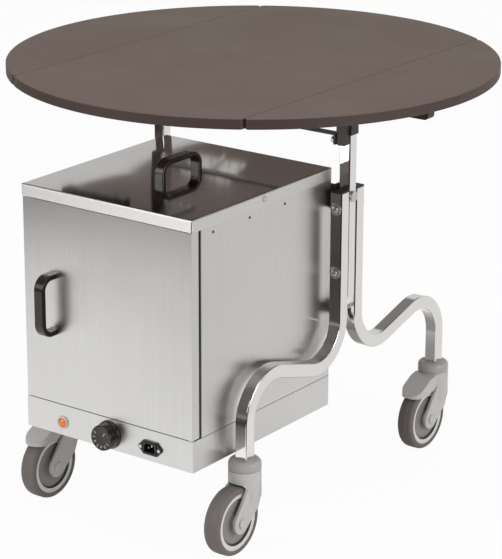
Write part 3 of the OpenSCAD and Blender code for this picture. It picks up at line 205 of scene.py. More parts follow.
# %% Haze and speckle
def make_haze():
    """Slow noise: the scale is in clouds per metre."""
    group, start, end = new_group(
        "haze", [("Vector", VECTOR, None), ("Scale", FLOAT, 14.0)], [("Cloud", FLOAT)])
    noise = add_node(group, "ShaderNodeTexNoise", {"Detail": 5.0, "Roughness": 0.6})
    link(group, start.outputs["Vector"], noise.inputs["Vector"])
    link(group, start.outputs["Scale"], noise.inputs["Scale"])
    link(group, noise.outputs["Fac"], end.inputs["Cloud"])
    return group


def make_speckle():
    """Fine noise and small cells: the scale is in grains per metre."""
    group, start, end = new_group(
        "speckle", [("Vector", VECTOR, None), ("Scale", FLOAT, 900.0)],
        [("Grain", FLOAT), ("Pit", FLOAT)])
    noise = add_node(group, "ShaderNodeTexNoise", {"Detail": 3.0})
    cells = add_node(group, "ShaderNodeTexVoronoi", feature="SMOOTH_F1")
    for node in (noise, cells):
        link(group, start.outputs["Vector"], node.inputs["Vector"])
        link(group, start.outputs["Scale"], node.inputs["Scale"])
    link(group, noise.outputs["Fac"], end.inputs["Grain"])
    link(group, cells.outputs["Distance"], end.inputs["Pit"])
    return group


HAZE, SPECKLE = make_haze(), make_speckle()
print("groups", [group.name for group in bpy.data.node_groups])

# %% [markdown]
# ## Finishes
# Each finish is one function call: a base colour, how much the colour wanders,
# the roughness between its clean and its hazy places, and a bump. The colours
# are written as they look on the screen, and `seen` turns them into the linear
# light that Blender reckons with.

# %% Material helpers
def seen(red, green, blue):
    """A screen colour from 0 to 255 as linear light: the value over 255, and
    above 0.04 the share (value + 0.055) / 1.055 raised to 2.4."""
    made = []
    for value in (red, green, blue):
        share = value / 255
        made.append(share / 12.92 if share <= 0.04045 else ((share + 0.055) / 1.055) ** 2.4)
    return (*made, 1.0)


def use_group(tree, group, place, **values):
    """Puts a node group into a material, with the place it reads and its values."""
    node = tree.nodes.new("ShaderNodeGroup")
    node.node_tree = group
    link(tree, place, node.inputs["Vector"])
    for name, value in values.items():
        node.inputs[name].default_value = value
    return node


def spread(tree, source, low, high):
    """Maps a value that lies around a half, from 0.25 to 0.75, onto low to high."""
    node = add_node(tree, "ShaderNodeMapRange",
                    {"From Min": 0.25, "From Max": 0.75, "To Min": low, "To Max": high})
    link(tree, source, node.inputs["Value"])
    return node.outputs["Result"]


def two_tone(tree, mask, first, second):
    """Goes from the first colour to the second as the mask goes from 0 to 1."""
    node = add_node(tree, "ShaderNodeMix", data_type="RGBA")
    link(tree, mask, node.inputs["Factor"])
    for socket, colour in ((node.inputs[6], first), (node.inputs[7], second)):
        if isinstance(colour, tuple):
            socket.default_value = colour
        else:
            link(tree, colour, socket)
    return node.outputs[2]


def finish_of(name, **sockets):
    """A new material with its Principled shader, and where its patterns lie."""
    material = bpy.data.materials.new(name)
    material.use_nodes = True
    tree = material.node_tree
    shader = tree.nodes["Principled BSDF"]
    for title, value in sockets.items():
        shader.inputs[title.replace("_", " ")].default_value = value
    place = add_node(tree, "ShaderNodeTexCoord").outputs["Object"]
    return material, tree, shader, place


def add_bump(tree, shader, height, distance, strength=1.0):
    """Shades the surface as if it stood up by the height times the distance."""
    bump = add_node(tree, "ShaderNodeBump", {"Strength": strength, "Distance": distance})
    link(tree, height, bump.inputs["Height"])
    link(tree, bump.outputs[0], shader.inputs["Normal"])


# %% [markdown]
# Chrome plate is a mirror with hardly any colour of its own. A little haze in
# its roughness, and waves a few microns high, keep the reflections from looking
# like computer glass.

# %% Chrome and brushed steel
def chrome(name, colour, rough, wave=0.00002):
    """Bright plate. The roughness runs from its value to nearly twice that under
    the haze, and the wave is the height of the ripples in metres."""
    material, tree, shader, place = finish_of(name, Metallic=1.0)
    haze = use_group(tree, HAZE, place, Scale=9.0)
    link(tree, spread(tree, haze.outputs[0], rough, rough * 1.9), shader.inputs["Roughness"])
    shade = two_tone(tree, haze.outputs[0], seen(*colour), seen(*(c - 8 for c in colour)))
    link(tree, shade, shader.inputs["Base Color"])
    ripple = use_group(tree, HAZE, place, Scale=26.0)
    add_bump(tree, shader, ripple.outputs[0], wave)
    return material


def drawn_highlight(tree, shader):
    """Gives the stretched highlight its direction: round the upright axis."""
    tangent = add_node(tree, "ShaderNodeTangent", direction_type="RADIAL", axis="Z")
    link(tree, tangent.outputs[0], shader.inputs["Tangent"])


def brushed(name, colour, rough, contrast=3, across=1700.0, along=5.0, streak=0.000004):
    """Brushed steel: the hair lines carry the roughness and the bump, and the
    bands carry a shade of colour. The highlight is drawn out across the grain."""
    material, tree, shader, place = finish_of(name, Metallic=1.0, Anisotropic=0.45)
    grain = use_group(tree, GRAIN, place, Across=across, Along=along)
    haze = use_group(tree, HAZE, place, Scale=6.0)
    bands = spread(tree, grain.outputs["Band"], 0.0, 1.0)
    shade = two_tone(tree, bands, seen(*(c - contrast for c in colour)),
                     seen(*(c + contrast // 2 for c in colour)))
    link(tree, shade, shader.inputs["Base Color"])
    both = math_node(tree, "ADD", spread(tree, grain.outputs["Line"], rough * 0.9, rough * 1.1),
                     spread(tree, haze.outputs[0], 0.0, 0.05))
    link(tree, both, shader.inputs["Roughness"])
    add_bump(tree, shader, grain.outputs["Line"], streak)
    drawn_highlight(tree, shader)
    return material


CHROME = chrome("chrome_plate", (240, 238, 236), 0.05)
FIXING = chrome("bright_zinc", (216, 214, 210), 0.28)
BOX_STEEL = brushed("box_steel", (220, 219, 217), 0.28)
LINER_STEEL = brushed("liner_steel", (200, 199, 196), 0.42)


# %% [markdown]
# The hot box's cover is the same sheet, but it is seen at a low angle and it
# carries a finer finish, so it mirrors the underside of the top. Its rims are
# brushed. A mask made from the normal's Z tells the flat top from the rims. The
# mesh is flat. A bump tilts its shading more and more towards the back, as if the
# sheet rose there by about nine millimetres, which a real sheet wouldn't do. That
# rise was found by trial, until the brown of the table reached the back edge of
# the reflection as it does in the photograph. It isn't a measure of the sheet.

# %% Cover steel
def part_of(tree, vector, letter):
    """One coordinate of a vector."""
    split = add_node(tree, "ShaderNodeSeparateXYZ")
    link(tree, vector, split.inputs[0])
    return split.outputs[letter]


def normal_z(tree):
    """The Z of the surface's own direction: one looks up, nought sideways."""
    return part_of(tree, add_node(tree, "ShaderNodeNewGeometry").outputs["True Normal"], "Z")


def flatness(tree):
    """One on faces that look straight up, nought on upright ones."""
    node = add_node(tree, "ShaderNodeMapRange", {"From Min": 0.75, "From Max": 0.97})
    link(tree, normal_z(tree), node.inputs["Value"])
    return node.outputs["Result"]


COVER_LEVEL_Y, COVER_RISE = -0.265, 0.15
HAIR_DEPTH = 0.000004


def cover_finish():
    """Fine steel on top and brushed steel on the rims. Behind the level part, the
    height that the bump shades is the rise times the square of the distance, in
    metres. The mesh stays flat."""
    material, tree, shader, place = finish_of("cover_steel", Metallic=1.0)
    grain = use_group(tree, GRAIN, place, Across=1300.0, Along=1300.0)
    turned_place = add_node(tree, "ShaderNodeMapping")
    turned_place.inputs["Rotation"].default_value = (math.radians(90), 0.0, 0.0)
    link(tree, place, turned_place.inputs["Vector"])
    drawn = use_group(tree, GRAIN, turned_place.outputs[0], Across=1100.0, Along=5.0)
    haze = use_group(tree, HAZE, place, Scale=7.0)
    top = flatness(tree)
    smooth_rough = math_node(tree, "ADD", spread(tree, drawn.outputs["Line"], 0.045, 0.075),
                             spread(tree, haze.outputs[0], 0.0, 0.03))
    rim_rough = spread(tree, grain.outputs["Line"], 0.40, 0.50)
    mixed = add_node(tree, "ShaderNodeMix")
    link(tree, top, mixed.inputs["Factor"])
    link(tree, rim_rough, mixed.inputs[2])
    link(tree, smooth_rough, mixed.inputs[3])
    link(tree, mixed.outputs[0], shader.inputs["Roughness"])
    shade = two_tone(tree, drawn.outputs["Band"], seen(196, 193, 190), seen(214, 212, 209))
    link(tree, two_tone(tree, top, seen(232, 231, 229), shade), shader.inputs["Base Color"])
    turn_up = add_node(tree, "ShaderNodeBump", {"Strength": 1.0, "Distance": COVER_RISE})
    behind = math_node(tree, "ADD", part_of(tree, place, "Y"), -COVER_LEVEL_Y)
    behind = math_node(tree, "MAXIMUM", behind, 0.0)
    link(tree, math_node(tree, "MULTIPLY", behind, behind), turn_up.inputs["Height"])
    hairs = add_node(tree, "ShaderNodeBump", {"Strength": 1.0, "Distance": HAIR_DEPTH})
    link(tree, drawn.outputs["Line"], hairs.inputs["Height"])
    link(tree, turn_up.outputs[0], hairs.inputs["Normal"])
    link(tree, hairs.outputs[0], shader.inputs["Normal"])
    rim = math_node(tree, "MULTIPLY", math_node(tree, "SUBTRACT", 1.0, top), 0.75)
    link(tree, rim, shader.inputs["Anisotropic"])
    shader.inputs["Anisotropic Rotation"].default_value = 0.25
    drawn_highlight(tree, shader)
    return material


COVER_STEEL = cover_finish()


# %% [markdown]
# The boards have a brown high-pressure laminate on both faces, and their edge is
# a darker brown. The laminate has a fine, soft grain that is felt more than
# seen. The normal's Z tells the faces from the edge, so one material serves the
# whole board.

# %% Laminate
def laminate():
    """Brown decor where the surface lies flat, and a darker brown where it stands:
    the mask is one less the normal's Z without its sign."""
    material, tree, shader, place = finish_of("table_laminate")
    shader.inputs["Specular IOR Level"].default_value = 0.35
    speckle = use_group(tree, SPECKLE, place, Scale=700.0)
    haze = use_group(tree, HAZE, place, Scale=5.0)
    face = two_tone(tree, spread(tree, speckle.outputs["Grain"], 0.0, 1.0),
                    seen(95, 77, 67), seen(103, 84, 74))
    cloudy = two_tone(tree, haze.outputs[0], face, seen(99, 80, 71))
    upright = math_node(tree, "SUBTRACT", 1.0,
                        math_node(tree, "ABSOLUTE", normal_z(tree), 0.0))
    # The upright edge gets a darker brown than the flat faces.
    darker_edge = two_tone(tree, speckle.outputs["Grain"], seen(60, 47, 43), seen(72, 58, 53))
    link(tree, two_tone(tree, upright, cloudy, darker_edge), shader.inputs["Base Color"])
    link(tree, spread(tree, haze.outputs[0], 0.46, 0.58), shader.inputs["Roughness"])
    add_bump(tree, shader, speckle.outputs["Grain"], 0.00002, 0.4)
    return material


LAMINATE = laminate()


# %% [markdown]
# The rest is plastic, rubber and paint. They share one recipe: a speckled
# colour, a roughness that wanders, and the fine spark-eroded grain of the mould.

# %% Plastics and rubber
def moulded(name, low, high, rough, scale=1400.0, bump=0.00002, cloud=0.06, **sockets):
    """A moulded surface between two screen colours."""
    material, tree, shader, place = finish_of(name, **sockets)
    speckle = use_group(tree, SPECKLE, place, Scale=scale)
    haze = use_group(tree, HAZE, place, Scale=18.0)
    tint = two_tone(tree, spread(tree, speckle.outputs["Grain"], 0.0, 1.0), seen(*low), seen(*high))
    middle = tuple((a + b) // 2 for a, b in zip(low, high))
    link(tree, two_tone(tree, haze.outputs[0], tint, seen(*middle)), shader.inputs["Base Color"])
    link(tree, spread(tree, haze.outputs[0], rough - cloud, rough + cloud),
         shader.inputs["Roughness"])
    add_bump(tree, shader, speckle.outputs["Pit"], bump, 0.5)
    return material


BLACK_STEEL = moulded("black_paint", (30, 27, 26), (42, 38, 36), 0.38, 1100.0, 0.00003)
BLACK_GLOSS = moulded("black_bakelite", (34, 26, 23), (46, 36, 32), 0.22, 1600.0, 0.000006)
BLACK_MATT = moulded("black_moulding", (28, 26, 25), (38, 35, 34), 0.45)
SEAL_RUBBER = moulded("seal_rubber", (36, 35, 34), (46, 45, 44), 0.62)
CASTER_GREY = moulded("castor_grey", (178, 176, 174), (188, 186, 184), 0.42)
SOCKET_GREY = moulded("socket_grey", (154, 151, 149), (166, 163, 161), 0.38)
RING_GREY = moulded("wheel_ring_grey", (206, 204, 200), (216, 214, 210), 0.40)
# The groove's dark grey is painted shade, for the gap between the ring and the disc.
GROOVE_PAINTED_SHADE = moulded("wheel_groove_painted_shade", (70, 66, 63), (82, 78, 75), 0.60)
DISC_GREY = moulded("wheel_disc_grey", (128, 123, 119), (140, 135, 131), 0.48)
TYRE_GREY = moulded("tyre_grey", (98, 91, 88), (112, 105, 102), 0.60, 1100.0, 0.00003)
PALE_PLASTIC = moulded("pale_bezel", (196, 188, 180), (208, 200, 192), 0.35)
ORANGE = moulded("orange_lens", (238, 106, 30), (250, 128, 44), 0.18, 900.0, 0.00001,
                 Coat_Weight=0.5, Subsurface_Weight=0.2)
RIVET_DARK = moulded("rivet_dark", (84, 80, 77), (96, 92, 88), 0.35, Metallic=1.0)
MARK_WHITE = moulded("dial_print", (214, 212, 208), (228, 226, 222), 0.5)
print("materials", len(bpy.data.materials))

# %% [markdown]
# ## Dressing the measured pieces
# Many pieces of the frame already have the right shape. They only take a finish.

# %% Finish every measured node
FINISHES = {
    CHROME: ["upright_frame", "leg_front_right", "leg_rear_right", "leg_front_left",
             "leg_rear_left"],
    FIXING: ["leg_bolts", "hanger_pins", "bracket_bolts", "panel_screws", "panel_hinges",
             "hinge_pins", "leaf_hinges_right", "leaf_hinges_left", "side_fixings",
             "wire_shelf", "inlet_pins", "door_pins"],
    BLACK_STEEL: ["top_brackets", "cross_brace", "leaf_rail_right", "leaf_rail_left",
                  "hanger_hooks"],
    BLACK_MATT: ["leg_caps", "rear_buffers", "inlet_body"],
    BLACK_GLOSS: ["cover_handle", "door_handle", "knob"],
    LAMINATE: ["centre_panel", "leaf_right", "leaf_left"],
    BOX_STEEL: ["cabinet_shell", "plinth", "door_panel"],
    COVER_STEEL: ["cabinet_cover"],
    LINER_STEEL: ["cabinet_liner", "door_liner"],
    SEAL_RUBBER: ["door_seal"],
    PALE_PLASTIC: ["lamp_bezel"],
    ORANGE: ["lamp_lens"],
    SOCKET_GREY: ["caster_sockets"],
    CASTER_GREY: [name for name in NODES if name.startswith(("fork_", "pedal_", "axle_"))],
    DISC_GREY: [name for name in NODES if name.startswith("wheel_")],
    TYRE_GREY: [name for name in NODES if name.startswith("tyre_")],
}
for material, names in FINISHES.items():
    for name in names:
        NODES[name].data.materials.clear()
        NODES[name].data.materials.append(material)
left_out = sorted(set(NODES) - {name for names in FINISHES.values() for name in names})
print("finishes", len(FINISHES), "without one", left_out)

# %% [markdown]
# ## Drawing pieces with numpy
# A mesh is a list of points and a list of faces that name them. Everything made
# below is a stack of loops: each loop has the same number of points, and the
# faces join a loop to the next. A tube is a stack along its route, a wheel is a
# stack round its axle, and a board is a stack of outlines, each one offset from
# the last.

# %% Loops into meshes
def mesh_piece(name, points, faces, materials, indices=None, sharp=40.0):
    """A named piece from points in millimetres. Edges that turn more than the
    sharp angle keep their crease."""
    mesh = bpy.data.meshes.new(name)
    mesh.from_pydata((np.asarray(points, float) * MM).tolist(), [], faces)
    for material in materials:
        mesh.materials.append(material)
    if indices is not None:
        mesh.polygons.foreach_set("material_index", indices)
    mesh.polygons.foreach_set("use_smooth", np.ones(len(faces), bool))
    mesh.set_sharp_from_angle(angle=math.radians(sharp))
    mesh.update()
    return into_scene(name, mesh)


def skin_faces(loops, count, ring=False):
    """Quads between neighbouring loops of count points. A ring also joins the
    last loop to the first."""
    faces = []
    for i in range(loops if ring else loops - 1):
        a, b = i * count, (i + 1) % loops * count
        for j in range(count):
            k = (j + 1) % count
            faces.append((a + j, a + k, b + k, b + j))
    return faces


def end_caps(loops, count):
    """One flat face on the first loop and one on the last, both facing outwards."""
    return [tuple(range(count))[::-1], tuple(range((loops - 1) * count, loops * count))]


def rounded_outline(width, height, radius, steps=5, inset=0.3):
    """A rounded rectangle, anticlockwise. One more point lies just outside the
    ends of every arc, and it keeps the flats flat when they are shaded."""
    made = []
    for turn, (side_x, side_y) in enumerate(((1, 1), (-1, 1), (-1, -1), (1, -1))):
        centre = np.array((side_x * (width / 2 - radius), side_y * (height / 2 - radius)))
        angles = np.radians(90 * turn + np.linspace(0, 90, steps + 1))
        arc = [centre + radius * np.array((math.cos(a), math.sin(a))) for a in angles]
        first = np.array((-math.sin(angles[0]), math.cos(angles[0])))
        last = np.array((-math.sin(angles[-1]), math.cos(angles[-1])))
        made += [arc[0] - inset * first, *arc, arc[-1] + inset * last]
    return np.array(made)


def walked(start, heading, moves, bend_steps=18, inset=0.8):
    """A route in a plane, walked like a turtle: a length goes straight on, and a
    pair (radius, degrees) bends, anticlockwise where the degrees are positive.
    It returns the places and the directions, with a loop close to each bend."""
    place, angle = np.array(start, float), math.radians(heading)
    places, angles = [place], [angle]
    for move in moves:
        ahead = np.array((math.cos(angle), math.sin(angle)))
        if isinstance(move, tuple):
            radius, degrees = move
            side = math.copysign(1.0, degrees)
            centre = place + side * radius * np.array((-ahead[1], ahead[0]))
            begin = angle
            for part in range(1, bend_steps + 1):
                angle = begin + math.radians(degrees) * part / bend_steps
                out = np.array((math.sin(angle), -math.cos(angle)))
                place = centre + side * radius * out
                places.append(place)
                angles.append(angle)
        else:
            for distance in (inset, move - inset, move):
                places.append(place + distance * ahead)
                angles.append(angle)
            place = place + move * ahead
    return np.array(places), np.array(angles)


def swept(name, origin, first_axis, second_axis, route, outline, material):
    """Sweeps an outline along a walked route in the plane of the two axes. At each
    stop the outline's first direction points to the route's right."""
    places, angles = route
    first, second = np.array(first_axis, float), np.array(second_axis, float)
    across = np.cross(first, second)
    loops = []
    for (a, b), angle in zip(places, angles):
        ahead = math.cos(angle) * first + math.sin(angle) * second
        beside = np.cross(across, ahead)
        middle = np.array(origin, float) + a * first + b * second
        loops.append(middle + outline[:, :1] * beside + outline[:, 1:] * across)
    count, stops = len(outline), len(loops)
    faces = skin_faces(stops, count) + end_caps(stops, count)
    return mesh_piece(name, np.concatenate(loops), faces, [material])


def turned_piece(name, centres, axis, profile, materials, kinds=None, count=96, closed=True):
    """Turns a profile of (along the axis, radius) round the axis, at one centre or
    at several. The kinds say which material each step of the profile takes. The
    profile runs so that its outside lies on its left."""
    along = np.array(axis, float)
    helper = np.array((0.0, 0.0, 1.0)) if abs(along[2]) < 0.5 else np.array((0.0, 1.0, 0.0))
    side = np.cross(helper, along)
    side /= np.linalg.norm(side)
    up = np.cross(along, side)
    turns = np.linspace(0, 2 * math.pi, count, endpoint=False)
    ring = np.cos(turns)[:, None] * side + np.sin(turns)[:, None] * up
    loops = [a * along + max(r, 0.001) * ring for a, r in profile]
    one = skin_faces(len(loops), count, ring=closed)
    indices = np.zeros(len(one), int) if kinds is None else np.repeat(np.array(kinds), count)
    if not closed:
        one += end_caps(len(loops), count)
        indices = np.append(indices, (indices[0], indices[-1]))
    points = np.concatenate(loops)
    centres = np.atleast_2d(np.array(centres, float))
    faces = [tuple(corner + copy * len(points) for corner in face)
             for copy in range(len(centres)) for face in one]
    return mesh_piece(name, np.concatenate([points + centre for centre in centres]), faces,
                      materials, np.tile(indices, len(centres)))


# %% [markdown]
# ## The chromed tubes
# The upright frame and the four legs are bent from square tube. The frame is one
# long U in the plane of X and Z. Each leg comes down, swings outwards, climbs on a
# slope of seven in twenty-four, and swings down again to its castor.

# %% Tubes
FRAME_X, FRAME_TOP, FRAME_TUBE = 212.5, 781.0, 23.0
FRAME_DROP, FRAME_BEND, FRAME_ACROSS = 389.0, 38.5, 348.0
LEG_Y, LEG_TOP, LEG_TUBE = 24.0, 588.0, 25.0
LEG_DROP, LEG_BEND, LEG_SLOPE, LEG_FOOT = 237.0, 76.0, 94.73, 67.6
LEG_TURN = 90.0 + math.degrees(math.atan2(7, 24))
TUBE_ROUND = 2.4
UPRIGHT_ROUTE = walked((FRAME_X, FRAME_TOP), -90.0,
                       [FRAME_DROP, (FRAME_BEND, -90.0), FRAME_ACROSS,
                        (FRAME_BEND, -90.0), FRAME_DROP])
upright = swept("tube_upright_frame", (0, 0, 0), (1, 0, 0), (0, 0, 1), UPRIGHT_ROUTE,
                rounded_outline(FRAME_TUBE, FRAME_TUBE, TUBE_ROUND), CHROME)
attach(upright, "frame")
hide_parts("upright_frame")
LEG_ROUTE = walked((LEG_Y, LEG_TOP), -90.0,
                   [LEG_DROP, (LEG_BEND, LEG_TURN), LEG_SLOPE, (LEG_BEND, -LEG_TURN),
                    LEG_FOOT], 26)
for end, y_side in (("front", -1.0), ("rear", 1.0)):
    for hand, x_side in (("right", 1.0), ("left", -1.0)):
        leg = swept(f"tube_leg_{end}_{hand}", (x_side * FRAME_X, 0, 0), (0, y_side, 0),
                    (0, 0, 1), LEG_ROUTE, rounded_outline(LEG_TUBE, LEG_TUBE, TUBE_ROUND),
                    CHROME)
        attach(leg, "frame")
        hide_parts(f"leg_{end}_{hand}")
print("tubes", 5, "stops on a leg's route", len(LEG_ROUTE[0]))

# %% [markdown]
# ## The boards
# The outline of a board is a piece of a circle with its corners rounded. Offset
# inwards, it keeps the same number of points, so a stack of offsets makes the
# rounded edge. The flat faces have the paler decor, and the edge a darker brown.

# %% Boards
BOARD_R, CORNER_R, EDGE_R = 450.0, 6.5, 1.2
BOARD_LOW, BOARD_TOP = 784.0, 802.0
SEAM_IN, SEAM_OUT = 250.8, 251.2
NEXT_TO_CORNER, NEXT_TO_EDGE, NEXT_TO_FACE = 0.2, 0.6, 0.5


def arc_points(centre, radius, start, end, steps):
    """Points on an arc: the centre plus the radius times cosine and sine."""
    angles = np.radians(np.linspace(start, end, steps + 1))
    return [(centre[0] + radius * math.cos(a), centre[1] + radius * math.sin(a))
            for a in angles]


def panel_outline(offset):
    """The middle board, offset inwards: two chords, two long arcs, four corners."""
    x = SEAM_IN - CORNER_R
    y = math.sqrt((BOARD_R - CORNER_R) ** 2 - x ** 2)
    lean = math.degrees(math.atan2(y, x))
    made = []
    for turn in (0, 180):
        sign = 1 if turn == 0 else -1
        made += arc_points((sign * x, sign * y), CORNER_R - offset, turn, turn + lean, 8)
        made += arc_points((0, 0), BOARD_R - offset, turn + lean + NEXT_TO_CORNER,
                           turn + 180 - NEXT_TO_CORNER - lean, 90)
        made += arc_points((-sign * x, sign * y), CORNER_R - offset,
                           turn + 180 - lean, turn + 180, 8)
    return np.array(made)


def leaf_outline(offset):
    """The right leaf, offset inwards: one chord, one long arc, two corners."""
    x = SEAM_OUT + CORNER_R
    y = math.sqrt((BOARD_R - CORNER_R) ** 2 - x ** 2)
    lean = math.degrees(math.atan2(y, x))
    made = arc_points((0, 0), BOARD_R - offset, NEXT_TO_CORNER - lean, lean - NEXT_TO_CORNER, 110)
    made += arc_points((x, y), CORNER_R - offset, lean, 180, 12)
    made += arc_points((x, -y), CORNER_R - offset, 180, 360 - lean, 12)
    return np.array(made)


def board_piece(name, outline_at, mirrored=False):
    """Loops from the underside, up the rounded edge, to the upper face. The offset
    and the height follow a quarter circle at each edge, and a loop next to each
    curve keeps the flats flat when they are shaded."""
    quarter = np.radians(np.linspace(0, 90, 6))
    stack = [(EDGE_R + NEXT_TO_EDGE, BOARD_LOW)]
    stack += [(EDGE_R * (1 - math.sin(a)), BOARD_LOW + EDGE_R * (1 - math.cos(a)))
              for a in quarter]
    stack.append((0.0, BOARD_LOW + EDGE_R + NEXT_TO_FACE))
    stack.append((0.0, BOARD_TOP - EDGE_R - NEXT_TO_FACE))
    stack += [(EDGE_R * (1 - math.cos(a)), BOARD_TOP - EDGE_R * (1 - math.sin(a)))
              for a in quarter]
    stack.append((EDGE_R + NEXT_TO_EDGE, BOARD_TOP))
    loops = []
    for offset, z in stack:
        flat = outline_at(offset)
        loops.append(np.column_stack((flat, np.full(len(flat), z))))
    count = len(loops[0])
    points = np.concatenate(loops)
    faces = skin_faces(len(loops), count) + end_caps(len(loops), count)
    if mirrored:
        points[:, 0] *= -1
        faces = [face[::-1] for face in faces]
    return mesh_piece(name, points, faces, [LAMINATE])


for node_name, outline_at, mirrored, body in (
        ("centre_panel", panel_outline, False, "frame"),
        ("leaf_right", leaf_outline, False, "flap_right"),
        ("leaf_left", leaf_outline, True, "flap_left")):
    board = board_piece(f"board_{node_name}", outline_at, mirrored)
    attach(board, body)
    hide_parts(node_name)
print("boards", 3)

# %% [markdown]
# ## Castor wheels
# A wheel is a moulded rim with a raised ring near the tyre, a groove inside the
# ring, and a recessed disc with a hub. The ring is the palest part, and the
# groove is painted dark grey as painted shade in the gap between ring and disc.
# The tyre is a soft grey rubber with round shoulders and a fine seam of the
# mould round its middle.

# %% Wheels and tyres
CORNERS = ("front_right", "rear_right", "front_left", "rear_left")
BRAKED = ("front_left", "rear_right")
RIM_R, TYRE_R, HALF_TYRE = 53.0, 62.5, 16.25
RING_HALF, DISC_HALF, HUB_R = 14.25, 11.25, 12.0
RING_IN = 41.5
RING, GROOVE, DISC = 0, 1, 2


def half_wheel():
    """The profile from the rim's middle outwards to the axle, as distance from the
    middle, radius and material."""
    return [(RING_HALF - 3.0, RIM_R, RING), (RING_HALF - 0.8, RIM_R, RING),
            (RING_HALF - 0.2, RIM_R - 0.4, RING), (RING_HALF, RIM_R - 1.2, RING),
            (RING_HALF, RING_IN + 3.0, RING), (RING_HALF - 0.3, RING_IN + 2.2, RING),
            (RING_HALF - 1.2, RING_IN + 1.6, GROOVE), (DISC_HALF - 1.6, RING_IN + 0.8, GROOVE),
            (DISC_HALF - 1.8, RING_IN - 0.6, GROOVE), (DISC_HALF - 0.4, RING_IN - 2.0, DISC),
            (DISC_HALF, RING_IN - 3.0, DISC), (DISC_HALF - 0.5, 32.0, DISC),
            (DISC_HALF - 1.4, 22.0, DISC), (DISC_HALF - 1.2, HUB_R + 4.0, DISC),
            (DISC_HALF, HUB_R + 2.6, DISC), (RING_HALF - 1.0, HUB_R + 1.6, DISC),
            (RING_HALF - 0.2, HUB_R + 0.6, RING), (RING_HALF, HUB_R - 0.4, RING),
            (RING_HALF, 6.0, RING)]


def wheel_profile():
    """Both halves, from the far side's axle to the near side's."""
    half = half_wheel()
    points = [(-a, r) for a, r, _ in half[::-1]] + [(a, r) for a, r, _ in half]
    kinds = [k for _, _, k in half[::-1]][:-1] + [RING] + [k for _, _, k in half[1:]]
    return points, kinds


def tyre_profile(shoulder=7.0, seam=0.25):
    """The tyre's section, outside on the left: inner face, shoulder, tread, and
    back. The mould's seam stands up a quarter of a millimetre."""
    flat = HALF_TYRE - shoulder
    quarter = np.radians(np.linspace(0, 90, 9))
    far = [(-flat - shoulder * math.cos(a), TYRE_R - seam - shoulder * (1 - math.sin(a)))
           for a in quarter]
    near = [(flat + shoulder * math.sin(a), TYRE_R - seam - shoulder * (1 - math.cos(a)))
            for a in quarter]
    tread = [(-0.9, TYRE_R - seam), (-0.35, TYRE_R), (0.35, TYRE_R), (0.9, TYRE_R - seam)]
    return [(-HALF_TYRE, RIM_R - 0.6)] + far + tread + near + [(HALF_TYRE, RIM_R - 0.6)]


def middle_of(low, high):
    """The middle of a measured box in millimetres: half the sum of its corners."""
    return (np.array(low) + np.array(high)) / 2 / MM


WHEEL_POINTS, WHEEL_KINDS = wheel_profile()
for corner in CORNERS:
    low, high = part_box(f"axle_{corner}")
    hub = middle_of(low, high)
    wheel = turned_piece(f"rim_{corner}", hub, (1, 0, 0), WHEEL_POINTS,
                         [RING_GREY, GROOVE_PAINTED_SHADE, DISC_GREY], WHEEL_KINDS, closed=False)
    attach(wheel, NODES[f"wheel_{corner}"]["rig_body"])
    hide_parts(f"wheel_{corner}")
    tyre = turned_piece(f"tread_{corner}", hub, (1, 0, 0), tyre_profile(), [TYRE_GREY],
                        count=128)
    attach(tyre, NODES[f"tyre_{corner}"]["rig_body"])
    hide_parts(f"tyre_{corner}")
print("wheels", 4)

# %% [markdown]
# ## Handles
# A bridge handle is a strap that stands up from one foot, bends, runs along, and
# comes down to the other foot. Its edges are rounded, and its ends stand flush on
# the sheet.

# %% Handles
BRIDGE_RISE, BRIDGE_BEND, BRIDGE_RUN = 11.75, 21.0, 62.5
BRIDGE_HALF = BRIDGE_RUN / 2 + BRIDGE_BEND
BRIDGE_ROUTE = walked((BRIDGE_HALF, 0.0), 90.0,
                      [BRIDGE_RISE, (BRIDGE_BEND, 90.0), BRIDGE_RUN, (BRIDGE_BEND, 90.0),
                       BRIDGE_RISE], 18)
STRAP_THICK, STRAP_WIDE, STRAP_ROUND = 9.5, 21.0, 2.5
STRAP = rounded_outline(STRAP_THICK, STRAP_WIDE, STRAP_ROUND, 6)
low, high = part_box("cover_handle")
middle = middle_of(low, high)
cover_grip = swept("grip_cover", (middle[0], middle[1], low.z / MM), (0, 1, 0), (0, 0, 1),
                   BRIDGE_ROUTE, STRAP, BLACK_GLOSS)
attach(cover_grip, NODES["cover_handle"]["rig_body"])
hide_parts("cover_handle")
low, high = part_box("door_handle")
middle = middle_of(low, high)
door_grip = swept("grip_door", (middle[0], high.y / MM, middle[2]), (0, 0, 1), (0, -1, 0),
                  BRIDGE_ROUTE, STRAP, BLACK_GLOSS)
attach(door_grip, NODES["door_handle"]["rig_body"])
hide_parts("door_handle")
print("handles", 2 * BRIDGE_HALF + STRAP_THICK, "mm long")

# %% [markdown]
# ## Controls
# The knob's face lies in a shallow dish, and its scale is a ring of pale marks
# near the rim, with one longer mark for the pointer. The pilot lamp is an orange
# dome in a pale ring.

# %% Knob
KNOB_X, KNOB_DEEP, MARKS_FOOT = 2.5, 24.0, 1.2
low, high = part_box("knob")
KNOB_FRONT = low.y / MM
KNOB_Z = middle_of(low, high)[2]
KNOB_BACK = KNOB_FRONT + KNOB_DEEP
knob_profile = [(0.0, 3.0), (0.0, 25.2), (0.5, 26.0), (2.2, 26.0), (3.2, 25.4), (4.0, 24.6),
                (5.0, 24.3), (7.0, 24.1), (21.6, 23.3), (22.9, 22.9), (23.7, 22.2),
                (24.0, 21.4), (24.0, 20.7), (23.7, 20.1), (23.2, 19.8), (23.0, 19.2),
                (23.0, 1.0)]
knob_body = turned_piece("knob_body", (KNOB_X, KNOB_BACK, KNOB_Z), (0, -1, 0),
                         knob_profile, [BLACK_GLOSS], count=72, closed=False)
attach(knob_body, NODES["knob"]["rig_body"])
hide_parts("knob")
print("knob", KNOB_DEEP, "mm deep, front at Y", round(KNOB_FRONT, 1))
